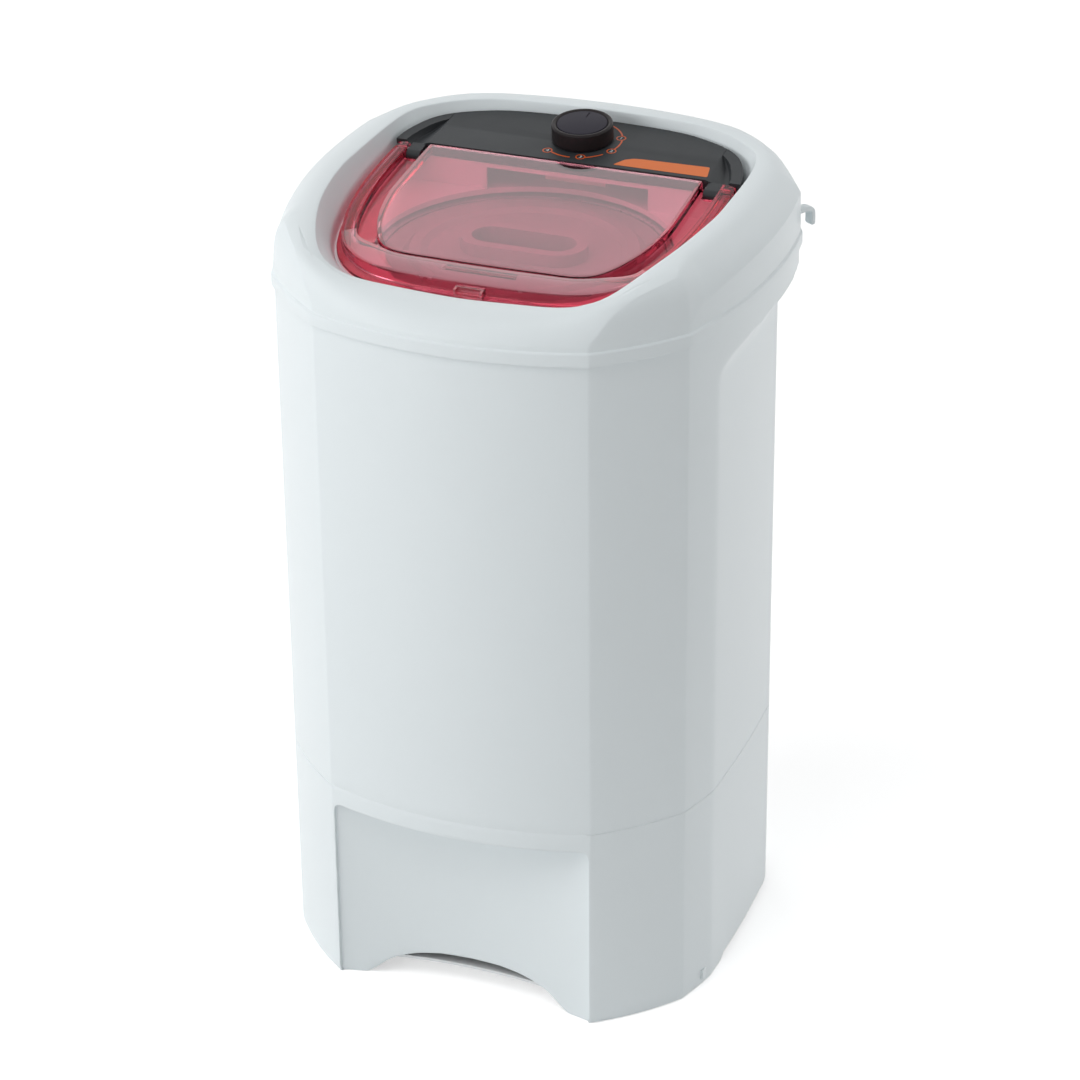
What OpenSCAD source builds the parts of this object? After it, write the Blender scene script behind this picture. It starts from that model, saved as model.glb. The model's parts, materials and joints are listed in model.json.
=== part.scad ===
// Laundry spin dryer, top loading, with a direct drive basket.
// Millimetres. +Z is up, the front faces -Y, and the origin is on the floor under the middle.

/* [Cabinet] */
// Overall width, across the top cover's flange
body_w = 440; // [366:1:528]
// Overall depth, front to back
body_d = 436; // [364:1:524]
// Height of the cabinet's top edge above the floor
cabinet_h = 664; // [560:1:800]
// Wall thickness of the cabinet
wall = 3; // [2:0.5:4]
// Half width of the front face between its vertical edges
face_half_w = 126; // [100:1:140]
// Bulge of the front face and of the rear face
face_bulge = 22; // [8:1:30]
// Bulge of each side
side_bulge = 14.8; // [6:0.5:20]
// How far the cabinet stands inside the top cover's flange
flange_step = 4; // [2:0.5:8]
// Depth from the widest point to the flat of each side hand recess
recess_inset = 17; // [12:1:24]
// Height of the top of the side hand recesses below the cabinet's top edge
recess_drop = 52; // [40:1:80]
// Height of the seam groove above the floor
seam_z = 203; // [180:1:240]

/* [Front recess] */
// Width of the bucket recess
bucket_w = 238; // [200:1:240]
// Height of the bucket recess
bucket_h = 184; // [150:1:200]
// Distance from the front to the deepest part of the recess wall
bucket_depth = 43; // [30:1:60]
// Width of the arch at the floor
arch_w = 194; // [150:1:200]
// Height of the arch
arch_h = 32; // [20:1:45]

/* [Top cover] */
// Width of the rim from the front to its crest
rim_front = 44; // [36:1:50]
// Width of the rim from each side to its crest
rim_side = 46; // [40:1:56]
// Inside edge of the crest to the opening, at the front
lip_front = 18; // [12:1:24]
// Inside edge of the crest to the opening, at the sides
lip_side = 7; // [5:1:10]
// Height of the flange band under the ridge
flange_h = 12; // [8:1:16]
// Wall thickness of the top cover
cover_wall = 3; // [2.5:0.5:4]

/* [Lid and panel] */
// Slope of the lid and panel, front down
lid_tilt = 5.7; // [3:0.1:8]
// Height of the lid's plane over the cabinet's top edge, at the middle
lid_rise = 46.7; // [40:0.1:54]
// Depth of the ledge under the lid's plane
ledge_drop = 15; // [14:0.5:18]
// Gap between the lid's flange and the opening
lid_gap = 2; // [1:0.5:4]
// Thickness of the clear moulding
lid_t = 3; // [2:0.5:4]
// Half width of the raised window
window_half_w = 131; // [115:1:134]
// Front edge of the raised window, from the middle
window_front = 112; // [95:1:118]
// Width of the bar along each side of the lid
bar_w = 14; // [12:0.5:15]
// Hinge line behind the middle, along the slope
hinge_y = 77; // [70:1:82]
// Hinge line below the lid's plane
hinge_drop = 5; // [4.5:0.5:6]
// Radius of the hinge pins
pin_r = 2.5; // [2:0.25:3]
// Radial clearance of running fits
run_gap = 0.05; // [0.02:0.01:0.1]
// Front edge of the panel behind the hinge line
panel_setback = 9; // [8.7:0.1:12]
// Diameter of the timer knob
knob_d = 56; // [44:1:64]
// Height of the timer knob
knob_h = 17; // [14:1:24]
// Centre of the knob behind the middle, along the slope
knob_y = 130.5; // [125:0.5:136]

/* [Tub and basket] */
// Centre of the basket in front of the middle
axis_shift = 18; // [10:1:24]
// Gap between the side wall and the tub
tub_gap = 13; // [8:1:20]
// Wall thickness of the tub
tub_wall = 3; // [2:0.5:4]
// Height of the tub's floor
tub_z = 205; // [200:1:230]
// Gap between the tub and the basket
basket_gap = 23; // [18:1:30]
// Wall thickness of the basket
basket_wall = 2.5; // [2:0.5:3]
// Gap under the basket
basket_lift = 34; // [32:1:44]
// Distance from the basket's wall to the mouth over it
mouth_inset = 24; // [20:1:45]
// Radial gap between the press disc and the mouth
press_gap = 7; // [2:0.5:10]

/* [Drive] */
// Radius of the drive shaft
shaft_r = 8; // [6:0.5:10]
// Radius of the motor
motor_r = 62; // [52:1:70]
// Height of the base plate's underside
base_z = 18; // [14:1:24]
// Height of the rubber mounts
mount_h = 24; // [18:1:30]
// Height of the motor's lower shell
motor_h = 96; // [80:1:100]
// Radius of the brake drum
brake_r = 45; // [38:1:50]
// Gap between the brake pad and the drum with the lid shut
brake_gap = 3; // [2:0.5:4]

/* [Hidden] */
$fn = 64;

half_w = body_w / 2;
half_d = body_d / 2;
axis_y = -axis_shift;
face_gap = 0.3;
white = "#EDF2F3";
clear_red = [0.75, 0.2, 0.3, 0.5];
charcoal = "#2E3436";
steel = "#B8BCC0";

// ---- plan outline: eight shallow arcs that meet at the vertical edges ----
function mirrored(p) = [-p.x, p.y];
// Right half of the corners, from the front round to the rear.
plan_corners = [
  [face_half_w, -half_d + face_bulge],
  [half_w - 27, -half_d + 89],
  [half_w - 6, half_d - 105],
  [face_half_w + 14, half_d - face_bulge]
];
corner_bulge = [4, 6];
// Arcs as [from, to, bulge, steps], counterclockwise from the front face.
plan_arcs = let (c = plan_corners) [
  [mirrored(c[0]), c[0], face_bulge, 10],
  [c[0], c[1], corner_bulge[0], 5],
  [c[1], c[2], side_bulge, 12],
  [c[2], c[3], corner_bulge[1], 5],
  [c[3], mirrored(c[3]), face_bulge, 10],
  [mirrored(c[3]), mirrored(c[2]), corner_bulge[1], 5],
  [mirrored(c[2]), mirrored(c[1]), side_bulge, 12],
  [mirrored(c[1]), mirrored(c[0]), corner_bulge[0], 5]
];
// Centre and radius of the arc from p to q that bulges to the right of the way.
function arc_centre(p, q, bulge) =
  let (d = q - p, right = [d.y, -d.x] / norm(d))
  (p + q) / 2 - right * (arc_radius(p, q, bulge) - bulge);
function arc_radius(p, q, bulge) = (norm(q - p) * norm(q - p) / 4 + bulge * bulge) / (2 * bulge);
// Points of that arc, without its last point.
function arc_points(p, q, bulge, n) =
  let (c = arc_centre(p, q, bulge), r = arc_radius(p, q, bulge),
       a0 = atan2(p.y - c.y, p.x - c.x), sweep = 2 * asin(norm(q - p) / (2 * r)))
  [for (i = [0 : n - 1]) c + r * [cos(a0 + sweep * i / n), sin(a0 + sweep * i / n)]];
rim_stations = [for (a = plan_arcs, p = arc_points(a[0], a[1], a[2], a[3])) p];
module plan_area(inset = 0) {
  intersection_for(a = plan_arcs)
    translate(arc_centre(a[0], a[1], a[2])) circle(r = arc_radius(a[0], a[1], a[2]) - inset, $fn = 180);
}
// Rear face at a given x: its y, and how far its outward normal turns away from +Y.
rear_r = arc_radius(plan_corners[3], mirrored(plan_corners[3]), face_bulge) - flange_step;
rear_centre_y = arc_centre(plan_corners[3], mirrored(plan_corners[3]), face_bulge).y;
function rear_at(x) = rear_centre_y + sqrt(rear_r * rear_r - x * x);
function rear_turn(x) = asin(x / rear_r);

// ---- rounded loops of the rim, the lid and the panel ----
// Right half of a loop, from the front centre to the rear centre, as shares of its half sizes.
RIM_SHAPE = [
  [0, -1], [0.345, -0.995], [0.64, -0.975], [0.793, -0.856], [0.92, -0.546], [0.985, -0.2],
  [1, 0.1], [0.971, 0.644], [0.845, 0.839], [0.62, 0.954], [0.345, 0.994], [0, 1]
];
OPENING_SHAPE = [
  [0, -1], [0.35, -0.99], [0.58, -0.945], [0.73, -0.85], [0.85, -0.69], [0.93, -0.46],
  [0.982, -0.16], [1, 0.15], [0.988, 0.5], [0.946, 0.67], [0.856, 0.815], [0.689, 0.913],
  [0.449, 0.977], [0, 1]
];
function sized(shape, loop_w, front, rear) =
  [for (p = shape) [p.x * loop_w, p.y < 0 ? p.y * front : p.y * rear]];
function closed_half(h) = concat(h, [for (i = [len(h) - 2 : -1 : 1]) mirrored(h[i])]);
// Catmull-Rom curve through a closed list of points.
function smooth(loop, n = 3) =
  let (m = len(loop))
  [for (i = [0 : m - 1], k = [0 : n - 1])
    let (t = k / n, a = loop[(i + m - 1) % m], b = loop[i], c = loop[(i + 1) % m], d = loop[(i + 2) % m])
    0.5 * (2 * b + (c - a) * t + (2 * a - 5 * b + 4 * c - d) * t * t + (3 * b - a - 3 * c + d) * t * t * t)];
// Moves each point of a counterclockwise loop inwards along its normal.
function inset_loop(loop, gap) =
  let (m = len(loop))
  [for (i = [0 : m - 1])
    let (d = loop[(i + 1) % m] - loop[(i + m - 1) % m], l = norm(d))
    loop[i] + gap * [-d.y, d.x] / l];

crest_half_w = half_w - rim_side;
opening_half_w = crest_half_w - lip_side;
opening_front = half_d - rim_front - lip_front;
opening_rear = half_d - rim_front - 2;
crest_loop = smooth(closed_half(sized(RIM_SHAPE, crest_half_w, half_d - rim_front, half_d - rim_front)));
opening_loop = smooth(closed_half(sized(OPENING_SHAPE, opening_half_w, opening_front, opening_rear)));
// The opening and its ledge, at the same stations as the rim
opening_stations = [for (p = rim_stations) p / norm(p) * loop_radius(opening_loop, bearing(p))];
lid_flange_loop = inset_loop(opening_stations, lid_gap);
rim_inset_front = 13;
lid_loop = smooth(closed_half(sized(OPENING_SHAPE, opening_half_w - 4.5, opening_front - rim_inset_front,
                                    opening_rear)));
window_loop = smooth(closed_half(sized(RIM_SHAPE, window_half_w, window_front, opening_rear)));

// ---- heights ----
cabinet_foot = 1.5;
flange_z = cabinet_h - 4;
ridge_z = flange_z + flange_h;
lid_z0 = cabinet_h + lid_rise;
tub_cover_z = cabinet_h + 12;
tub_cover_t = 3;
tub_flange_t = 4;
gasket_t = 4;
tub_top = tub_cover_z - gasket_t;
function slope_z(y) = lid_z0 + tan(lid_tilt) * y;

// ---- turning about the middle: angle from the front, 0 to 180, and radius of a loop there ----
function bearing(p) = abs(atan2(p.x, -p.y));
function loop_radius(loop, a) = lookup(a, [for (p = loop) if (p.x >= -0.001) [bearing(p), norm(p)]]);
// Rise of the crest above the cabinet's top edge against that angle.
CREST_RISE = [[0, 29], [28, 32.5], [33, 36], [39, 44], [43, 50], [49, 55], [59, 60], [75, 63], [108, 64],
              [123, 66], [135, 70], [147, 73], [180, 74]];
// Rise of the crease where the upright band ends and the rim starts to curve over.
CREASE_RISE = [[0, 12], [33, 13.5], [55, 14], [57, 20], [58.7, 26], [60.3, 30], [69.7, 36], [88, 40],
               [118, 44], [145, 48], [180, 50]];

module on_slope() {
  translate([0, 0, lid_z0]) rotate([lid_tilt, 0, 0]) children();
}
module slab(z0, z1) {
  translate([0, 0, z0]) linear_extrude(height = z1 - z0) children();
}
module tube(outer, inner, z0, z1) {
  difference() {
    translate([0, 0, z0]) cylinder(r = outer, h = z1 - z0);
    translate([0, 0, z0 - 1]) cylinder(r = inner, h = z1 - z0 + 2);
  }
}
module on_axis() {
  translate([0, axis_y, 0]) children();
}

// ---- cabinet ----
recess_x = half_w - recess_inset;
recess_top = cabinet_h - recess_drop;
inner_side_x = recess_x - wall;
foot_rear_y = -56;
bucket_wall_y = -half_d + bucket_depth;
bucket_edge_y = -half_d + face_bulge + flange_step + 1;
bucket_sag = bucket_wall_y - bucket_edge_y;

// Concave plan of the bucket recess, from beyond the front to its wall.
module bucket_plan(extra = 0) {
  half = bucket_w / 2 + extra;
  wall_points = arc_points([half, bucket_edge_y + extra], [-half, bucket_edge_y + extra], bucket_sag, 12);
  polygon(concat([[half, -half_d - 5]], wall_points, [[-half, bucket_edge_y + extra], [-half, -half_d - 5]]));
}
// Flats of the hand recess as [turn from +X, distance from the middle], side to rear.
recess_flats = [[0, recess_x], [21, recess_x + 15], [42, recess_x + 14]];
scoop_r = 30;
// Section of a flat, seen along it: upright, then curving out at the top.
module recess_section(d) {
  polygon(concat(
    [[d + 60, -9], [d, -9]],
    [for (a = [0 : 25 : 75]) [d + scoop_r * (1 - cos(a)), recess_top + scoop_r * sin(a)]],
    [[d + 60, recess_top + scoop_r]]
  ));
}
module side_recess(extra = 0) {
  for (side = [0, 1], f = recess_flats) mirror([side, 0, 0]) rotate([0, 0, f[0]])
    translate([0, f[0] == 0 ? half_d : 160, extra]) rotate([90, 0, 0])
      linear_extrude(height = f[0] == 0 ? body_d - 110 : 320) recess_section(f[1] - extra);
}
module arch_cut() {
  translate([0, 0, -1]) rotate([90, 0, 0]) linear_extrude(height = half_d + 5)
    intersection() {
      translate([-arch_w / 2, 0]) square([arch_w, arch_h + 1]);
      polygon([for (a = [0 : 10 : 180]) [arch_w / 2 * cos(a), (arch_h + 1) * pow(abs(sin(a)), 0.6)]]);
    }
}
drain_x = 90;
drain_z = 120;
drain_r = 12;
cord_x = -90;
cord_z = 60;
gland_r = 9;
rear_y = half_d - flange_step;
// Middle of the wall at the cord hole, with +Z pointing out of the cabinet.
module at_cord_hole() {
  translate([cord_x, rear_at(cord_x), cord_z]) rotate([-90, 0, -rear_turn(cord_x)])
    translate([0, 0, -wall / 2]) children();
}

module cabinet() {
  color(white) difference() {
    union() {
      difference() {
        slab(cabinet_foot, cabinet_h) plan_area(flange_step);
        side_recess();
        slab(-1, bucket_h) bucket_plan();
        difference() {
          translate([0, 0, -1]) linear_extrude(height = cabinet_h + 2) plan_area(flange_step + wall);
          side_recess(wall);
          slab(-2, bucket_h + wall) bucket_plan(wall);
        }
      }
      // Ledges that carry the base plate
      for (side = [-1, 1], y = [-90, 60])
        translate([side * (inner_side_x - 6) - 7, y - 12, 8]) cube([14, 24, base_z - 8]);
    }
    arch_cut();
    // The bottom edge is raised behind the front feet
    translate([-half_w, foot_rear_y, -1]) cube([body_w, body_d, 8]);
    for (p = base_screw_xy) translate([p.x, p.y, cabinet_foot]) cylinder(r = screw_r + run_gap, h = base_z);
    // Seam groove
    difference() {
      slab(seam_z - 0.6, seam_z + 0.6) plan_area(flange_step - 4);
      slab(seam_z - 1, seam_z + 1) plan_area(flange_step + 0.6);
    }
    // Drain port and cord hole in the rear wall
    translate([drain_x, half_d, drain_z]) rotate([90, 0, 0]) cylinder(r = drain_r + 8, h = 30);
    at_cord_hole() cylinder(r = gland_r, h = 3 * wall, center = true);
  }
}

// ---- base ----
base_t = 3;
base_top = base_z + base_t;
screw_r = 2.4;
base_screw_xy = [for (side = [-1, 1], y = [-90, 60]) [side * (inner_side_x - 8), y]];
foot_xy = [for (side = [-1, 1], y = [-100, 130]) [side * 120, y]];
module base_plan() {
  difference() {
    plan_area(flange_step + wall + face_gap);
    bucket_plan(wall + face_gap);
    for (side = [0, 1], f = recess_flats) mirror([side, 0]) rotate(f[0])
      translate([f[1] - wall - face_gap, -150]) square([60, 400]);
    for (x = [-60 : 24 : 60]) translate([x - 4, 110]) square([8, 50]);
  }
}
module base_plate() {
  color(steel) difference() {
    union() {
      slab(base_z, base_top) base_plan();
      // Stiffening beads
      for (side = [-1, 1]) translate([side * 95 - 5, -120, base_z - 6]) cube([10, 260, 6]);
    }
    for (p = base_screw_xy) translate([p.x, p.y, base_z - 1]) cylinder(r = 2.7, h = base_t + 2);
    on_axis() for (a = mount_angles) rotate([0, 0, a]) translate([mount_ring, 0, base_z - 7])
      cylinder(r = bolt_r + 0.3, h = base_t + 8);
  }
}
module rubber_feet() {
  color("#202224") for (p = foot_xy) translate([p.x, p.y, 0]) {
    difference() {
      cylinder(r = 16, h = base_z);
      translate([0, 0, -1]) cylinder(r = 5, h = 7);
    }
  }
}
module screw(shank_r, head_r, head_h, shank_l) {
  translate([0, 0, -shank_l]) cylinder(r = shank_r, h = shank_l);
  difference() {
    cylinder(r = head_r, h = head_h);
    for (a = [0, 90]) rotate([0, 0, a]) translate([-head_r * 0.6, -0.5, head_h - 0.8])
      cube([head_r * 1.2, 1, 1]);
  }
}
module base_screws() {
  color(steel) for (p = base_screw_xy) translate([p.x, p.y, base_top]) screw(screw_r, 4.5, 2.5, 12);
}

// ---- top cover: one closed section, carried round the plan ----
crest_top_rise = 3;
crest_half_top = 10;
ledge_w = 8;
function cover_section(p) =
  let (a = bearing(p), ro = norm(p), rc = loop_radius(crest_loop, a), rp = loop_radius(opening_loop, a),
       rt = rc + crest_half_top, zc = cabinet_h + lookup(a, CREASE_RISE),
       zr = cabinet_h + lookup(a, CREST_RISE), zt = zr + crest_top_rise,
       t = cover_wall, rl = rp - ledge_w, k = p.y / ro, zl = slope_z(k * rp) - ledge_drop,
       zi = slope_z(k * rl) - ledge_drop, floor_z = tub_cover_z + tub_cover_t, zu = floor_z + face_gap)
  [
    [ro, flange_z], [ro, ridge_z - 1], [ro - 1.5, ridge_z + 1], [ro - 2, max(zc, ridge_z + 1.6)],
    [rt + (ro - 2 - rt) * cos(25), zc + (zt - zc) * sin(25)],
    [rt + (ro - 2 - rt) * cos(50), zc + (zt - zc) * sin(50)],
    [rt + (ro - 2 - rt) * cos(75), zc + (zt - zc) * sin(75)],
    [rt, zt], [rc + 3, zt - 0.6], [rc, zr], [rp + 0.25 * (rc - rp), zl + 0.35 * (zr - zl)],
    [rp, zl + 2], [rp - 1, zl - 0.1], [rl, zi], [rl, floor_z],
    [rl + t, floor_z], [rl + t, max(zi - t, zu)], [rp + t, max(zl - t, zu)], [rc + t + 1, zr - t - 1],
    [rt, zt - t - 1], [rt + (ro - 7 - rt) * 0.8, zc + (zt - zc) * 0.4 - t],
    [ro - 7, max(zc - t, ridge_z - t)], [ro - 7, cabinet_h], [ro - flange_step + face_gap, cabinet_h],
    [ro - flange_step + face_gap, flange_z]
  ];
module top_cover() {
  outer = rim_stations;
  sections = [for (p = outer) cover_section(p)];
  n = len(outer);
  m = len(sections[0]);
  points = [for (i = [0 : n - 1], q = sections[i]) [outer[i].x / norm(outer[i]) * q.x,
                                                    outer[i].y / norm(outer[i]) * q.x, q.y]];
  faces = [for (i = [0 : n - 1], j = [0 : m - 1], half = [0, 1])
    let (a = i * m + j, b = i * m + (j + 1) % m, c = ((i + 1) % n) * m + (j + 1) % m, d = ((i + 1) % n) * m + j)
    half == 0 ? [a, b, c] : [a, c, d]];
  color(white) difference() {
    polyhedron(points = points, faces = faces);
    // Well for the lid switch plunger
    translate([switch_x, switch_y, lid_z0 - 40]) cylinder(r = plunger_r + 0.4, h = 60);
    on_slope() for (p = panel_screw_xy) {
      translate([p.x, p.y, -ledge_drop - 12]) cylinder(r = 1.7, h = 16);
      translate([p.x, p.y, -ledge_drop - 12]) cylinder(r = 3, h = 12 - cover_wall);
    }
    hook_block(hook_root_t, run_gap);
  }
}

// ---- hose hook at the rear right corner ----
hook_w = 10;
hook_t = 4.5;
hook_reach = 17;
hook_bend = 8;
hook_drop = 19;
hook_z = cabinet_h + 25;
hook_angle = 60;
hook_root_t = 3;
hook_root = plan_corners[2] + [-7.5, 9];
module at_hook() {
  translate([hook_root.x, hook_root.y, hook_z]) rotate([0, 0, hook_angle]) children();
}
// Root of the hook, let into the wall of the top cover.
module hook_block(depth, gap) {
  at_hook() translate([-depth, -hook_w / 2 - gap, -hook_t - gap]) cube([depth + 8, hook_w + 2 * gap, hook_t + 2 * gap]);
}
module hose_hook() {
  color(white) at_hook() rotate([90, 0, 0]) translate([0, 0, -hook_w / 2]) linear_extrude(height = hook_w) {
    translate([-hook_root_t + run_gap, -hook_t]) square([hook_root_t + hook_reach - hook_bend, hook_t]);
    translate([hook_reach - hook_bend, -hook_bend]) intersection() {
      difference() {
        circle(r = hook_bend);
        circle(r = hook_bend - hook_t);
      }
      square([hook_bend + 1, hook_bend + 1]);
    }
    translate([hook_reach - hook_t, -hook_drop]) square([hook_t, hook_drop - hook_bend]);
  }
}

// ---- control panel ----
panel_front = hinge_y + panel_setback;
panel_gap = 1.4;
cheek_x0 = window_half_w + 3.5;
cheek_x1 = opening_half_w - 4.5 - bar_w - 0.6;
bar_front = hinge_y + 10.5;
cheek_front = hinge_y - 9;
panel_t = 3;
panel_loop = inset_loop(opening_stations, panel_gap);
panel_border = ledge_w + 1;
// Screws come up through the middle of the ledge
panel_screw_xy = [for (side = [-1, 1], a = [122, 148])
  (loop_radius(opening_loop, a) - 3.6) * [side * sin(a), -cos(a)]];
panel_screw_r = 1.4;
module panel_plan() {
  intersection() {
    polygon(panel_loop);
    polygon([
      [-half_w, bar_front], [-cheek_x1, bar_front], [-cheek_x1, cheek_front], [-cheek_x0, cheek_front],
      [-cheek_x0, panel_front], [cheek_x0, panel_front], [cheek_x0, cheek_front], [cheek_x1, cheek_front],
      [cheek_x1, bar_front], [half_w, bar_front], [half_w, half_d], [-half_w, half_d]
    ]);
  }
}
module panel_hollow() {
  intersection() {
    polygon(inset_loop(panel_loop, panel_border));
    translate([-cheek_x0 + 3, panel_front + 3]) square([2 * (cheek_x0 - 3), half_d]);
  }
}
module control_panel() {
  color(charcoal) on_slope() difference() {
    slab(-ledge_drop + face_gap + 0.2, 0) panel_plan();
    slab(-ledge_drop - 1, -panel_t) panel_hollow();
    // Shallow channel along each arm, between its outer and inner ridges
    slab(-4, 1) difference() {
      intersection() {
        polygon(inset_loop(panel_loop, bar_w - 1));
        translate([-half_w, panel_front + 4]) square([body_w, 40]);
      }
      translate([-window_half_w - 4, 0]) square([2 * window_half_w + 8, half_d]);
    }
    translate([0, knob_y, -10]) cylinder(r = 6, h = 12);
    for (side = [-1, 1]) translate([side * cheek_x0, hinge_y, -hinge_drop]) rotate([0, side * 90, 0])
      translate([0, 0, -1]) cylinder(r = pin_r, h = cheek_x1 - cheek_x0 + 2);
    for (p = panel_screw_xy) translate([p.x, p.y, -ledge_drop - 1]) cylinder(r = panel_screw_r + run_gap, h = 8);
  }
}
module panel_screws() {
  color(steel) on_slope() for (p = panel_screw_xy)
    translate([p.x, p.y, -ledge_drop - cover_wall - 0.9]) mirror([0, 0, 1]) screw(panel_screw_r, 2.6, 2, 9);
}

// ---- timer ----
timer_w = 58;
timer_d = 46;
timer_h = 32;
timer_shaft_r = 3;
shaft_top = knob_h - 4;
module timer_housing() {
  color("#D8D4C8") on_slope() difference() {
    union() {
      translate([-timer_w / 2, knob_y - timer_d / 2, -panel_t - timer_h]) cube([timer_w, timer_d, timer_h]);
      for (side = [-1, 1]) translate([side * (timer_w / 2 + 4) - 5, knob_y - 8, -panel_t - 4]) cube([10, 16, 4]);
    }
    translate([0, knob_y, -panel_t - 25]) cylinder(r = timer_shaft_r + run_gap, h = 30);
    for (side = [-1, 1]) translate([side * (timer_w / 2 + 5), knob_y, -panel_t - 5]) cylinder(r = 1.5, h = 6);
  }
}
module timer_shaft() {
  color(steel) on_slope() difference() {
    translate([0, knob_y, -panel_t - 22]) cylinder(r = timer_shaft_r, h = panel_t + 22 + shaft_top);
    translate([timer_shaft_r - 1, knob_y - 5, 3]) cube([5, 10, shaft_top]);
  }
}
module timer_knob() {
  color("#2A2526") on_slope() translate([0, knob_y, 0]) difference() {
    rotate_extrude() polygon([
      [0, knob_h - 2], [knob_d / 2 - 5, knob_h - 2], [knob_d / 2 - 4, knob_h - 0.6], [knob_d / 2 - 2, knob_h],
      [knob_d / 2 - 0.6, knob_h - 1], [knob_d / 2, knob_h - 3], [knob_d / 2, 0.6],
      [knob_d / 2 - 3, 0.6], [knob_d / 2 - 3, knob_h - 6], [7, knob_h - 6], [7, 1], [0, 1]
    ]);
    difference() {
      translate([0, 0, -1]) cylinder(r = timer_shaft_r, h = shaft_top + 1);
      translate([timer_shaft_r - 1, -5, 3]) cube([5, 10, shaft_top]);
    }
  }
}
module knob_cap() {
  color("#3A3940") on_slope() translate([0, knob_y, knob_h - 2]) difference() {
    cylinder(r = knob_d / 2 - 5, h = 1.6);
    translate([-0.6, knob_d / 2 - 17, 1.1]) cube([1.2, 10, 1]);
  }
}

// ---- lid ----
groove_depth = 8;
lid_base = 11;
flange_level = ledge_drop - 0.6;
module before(y) {
  intersection() {
    children();
    translate([-half_w, -half_d]) square([body_w, half_d + y]);
  }
}
module window_plan(inset = 0) {
  before(hinge_y + 6 - inset) polygon(inset_loop(window_loop, inset));
}
module cheek_room() {
  for (side = [0, 1]) mirror([side, 0])
    translate([cheek_x0 - face_gap - 0.2, cheek_front - 2]) square([cheek_x1 - cheek_x0 + 0.8, 60]);
}
module lid() {
  color(clear_red) on_slope() difference() {
    union() {
      slab(-lid_t, 0) window_plan();
      slab(-lid_base, -1) difference() {
        window_plan();
        window_plan(lid_t);
      }
      // Groove floors beside the window
      slab(-lid_base, -groove_depth) difference() {
        before(hinge_y + 3) polygon(lid_loop);
        window_plan(lid_t);
        cheek_room();
      }
      // Side bars
      slab(-lid_base, -1) difference() {
        before(hinge_y + 7.5) polygon(lid_loop);
        polygon(inset_loop(lid_loop, bar_w));
        cheek_room();
        translate([-half_w, -half_d]) square([body_w, half_d - window_front + 25]);
      }
      // Front ledge and its front wall
      slab(-lid_t - 1, -1) difference() {
        before(-window_front + 30) polygon(lid_loop);
        window_plan(lid_t);
      }
      slab(-lid_base, -1) difference() {
        before(-window_front + 30) polygon(lid_loop);
        polygon(inset_loop(lid_loop, lid_t));
      }
      // Lower flange
      slab(-flange_level, -lid_base) difference() {
        before(hinge_y + 1.5) polygon(lid_flange_loop);
        polygon(inset_loop(lid_flange_loop, 19));
        cheek_room();
      }
    }
    for (side = [-1, 1]) translate([side * (cheek_x1 - 1), hinge_y, -hinge_drop]) rotate([0, side * 90, 0])
      cylinder(r = pin_r + run_gap, h = 13);
  }
}
module lid_latch() {
  front = opening_front - rim_inset_front;
  color(clear_red) on_slope() difference() {
    translate([-13, -front - 9, -lid_base]) cube([26, 8.7, 7]);
    translate([-11, -front - 10, -lid_base + 2]) cube([22, 6, 6]);
  }
}
module hinge_pins() {
  color(steel) on_slope() for (side = [-1, 1])
    translate([side * cheek_x0, hinge_y, -hinge_drop]) rotate([0, side * 90, 0])
      cylinder(r = pin_r, h = cheek_x1 - cheek_x0 + 10);
}

// ---- lid switch ----
switch_y = 25;
switch_d = 16;
switch_x = opening_half_w - 2.6;
plunger_r = 1.4;
plunger_top = slope_z(switch_y) - flange_level - 0.35;
switch_top = slope_z(switch_y - switch_d / 2) - ledge_drop - cover_wall - face_gap;
switch_bottom = tub_cover_z + tub_cover_t + face_gap;
module lid_switch() {
  color("#1F2224") difference() {
    translate([opening_half_w - ledge_w + cover_wall + face_gap, switch_y - switch_d / 2, switch_bottom])
      cube([10, switch_d, switch_top - switch_bottom]);
    translate([switch_x, switch_y, switch_bottom + 4]) cylinder(r = plunger_r + run_gap, h = 30);
  }
}
module switch_plunger() {
  color("#D0D0D0") translate([switch_x, switch_y, switch_bottom + 7])
    cylinder(r = plunger_r, h = plunger_top - switch_bottom - 7);
}

// ---- tub ----
tub_r = min(inner_side_x - tub_gap, half_d - flange_step - wall - axis_shift - 12);
tub_flange_r = tub_r + 6;
tub_bore = 26;
screw_ring = tub_r + 2.5;
screw_angles = [for (i = [0 : 7]) 22.5 + 45 * i];
notch_w = 154;
notch_h = 21;
module tub_cover() {
  color(white) union() {
    on_axis() difference() {
      union() {
        tube(tub_flange_r, mouth_r, tub_cover_z, tub_cover_z + tub_cover_t);
        tube(mouth_r + 4, mouth_r, tub_cover_z - 2, tub_cover_z + 1);
      }
      for (a = screw_angles) rotate([0, 0, a]) translate([screw_ring, 0, tub_cover_z - 3])
        cylinder(r = 2.3, h = 8);
    }
    // Wall under the panel's front edge, open in the middle
    intersection() {
      difference() {
        slab(tub_cover_z + 1, lid_z0 + 10) intersection() {
          polygon(inset_loop(opening_stations, ledge_w + face_gap));
          translate([-half_w, panel_front + 2]) square([body_w, 3]);
        }
        translate([-notch_w / 2, 0, tub_cover_z]) cube([notch_w, half_d, notch_h + tub_cover_t]);
      }
      on_slope() translate([-half_w, 0, -ledge_drop - face_gap - 60]) cube([body_w, half_d, 60]);
    }
  }
}
module tub_gasket() {
  color("#2B2D2F") on_axis() tube(tub_r - 0.2, tub_r - tub_wall, tub_top, tub_cover_z);
}
module tub_screws() {
  color(steel) on_axis() for (a = screw_angles) rotate([0, 0, a])
    translate([screw_ring, 0, tub_cover_z + tub_cover_t]) screw(2, 3.8, 2.2, 10);
}
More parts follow.
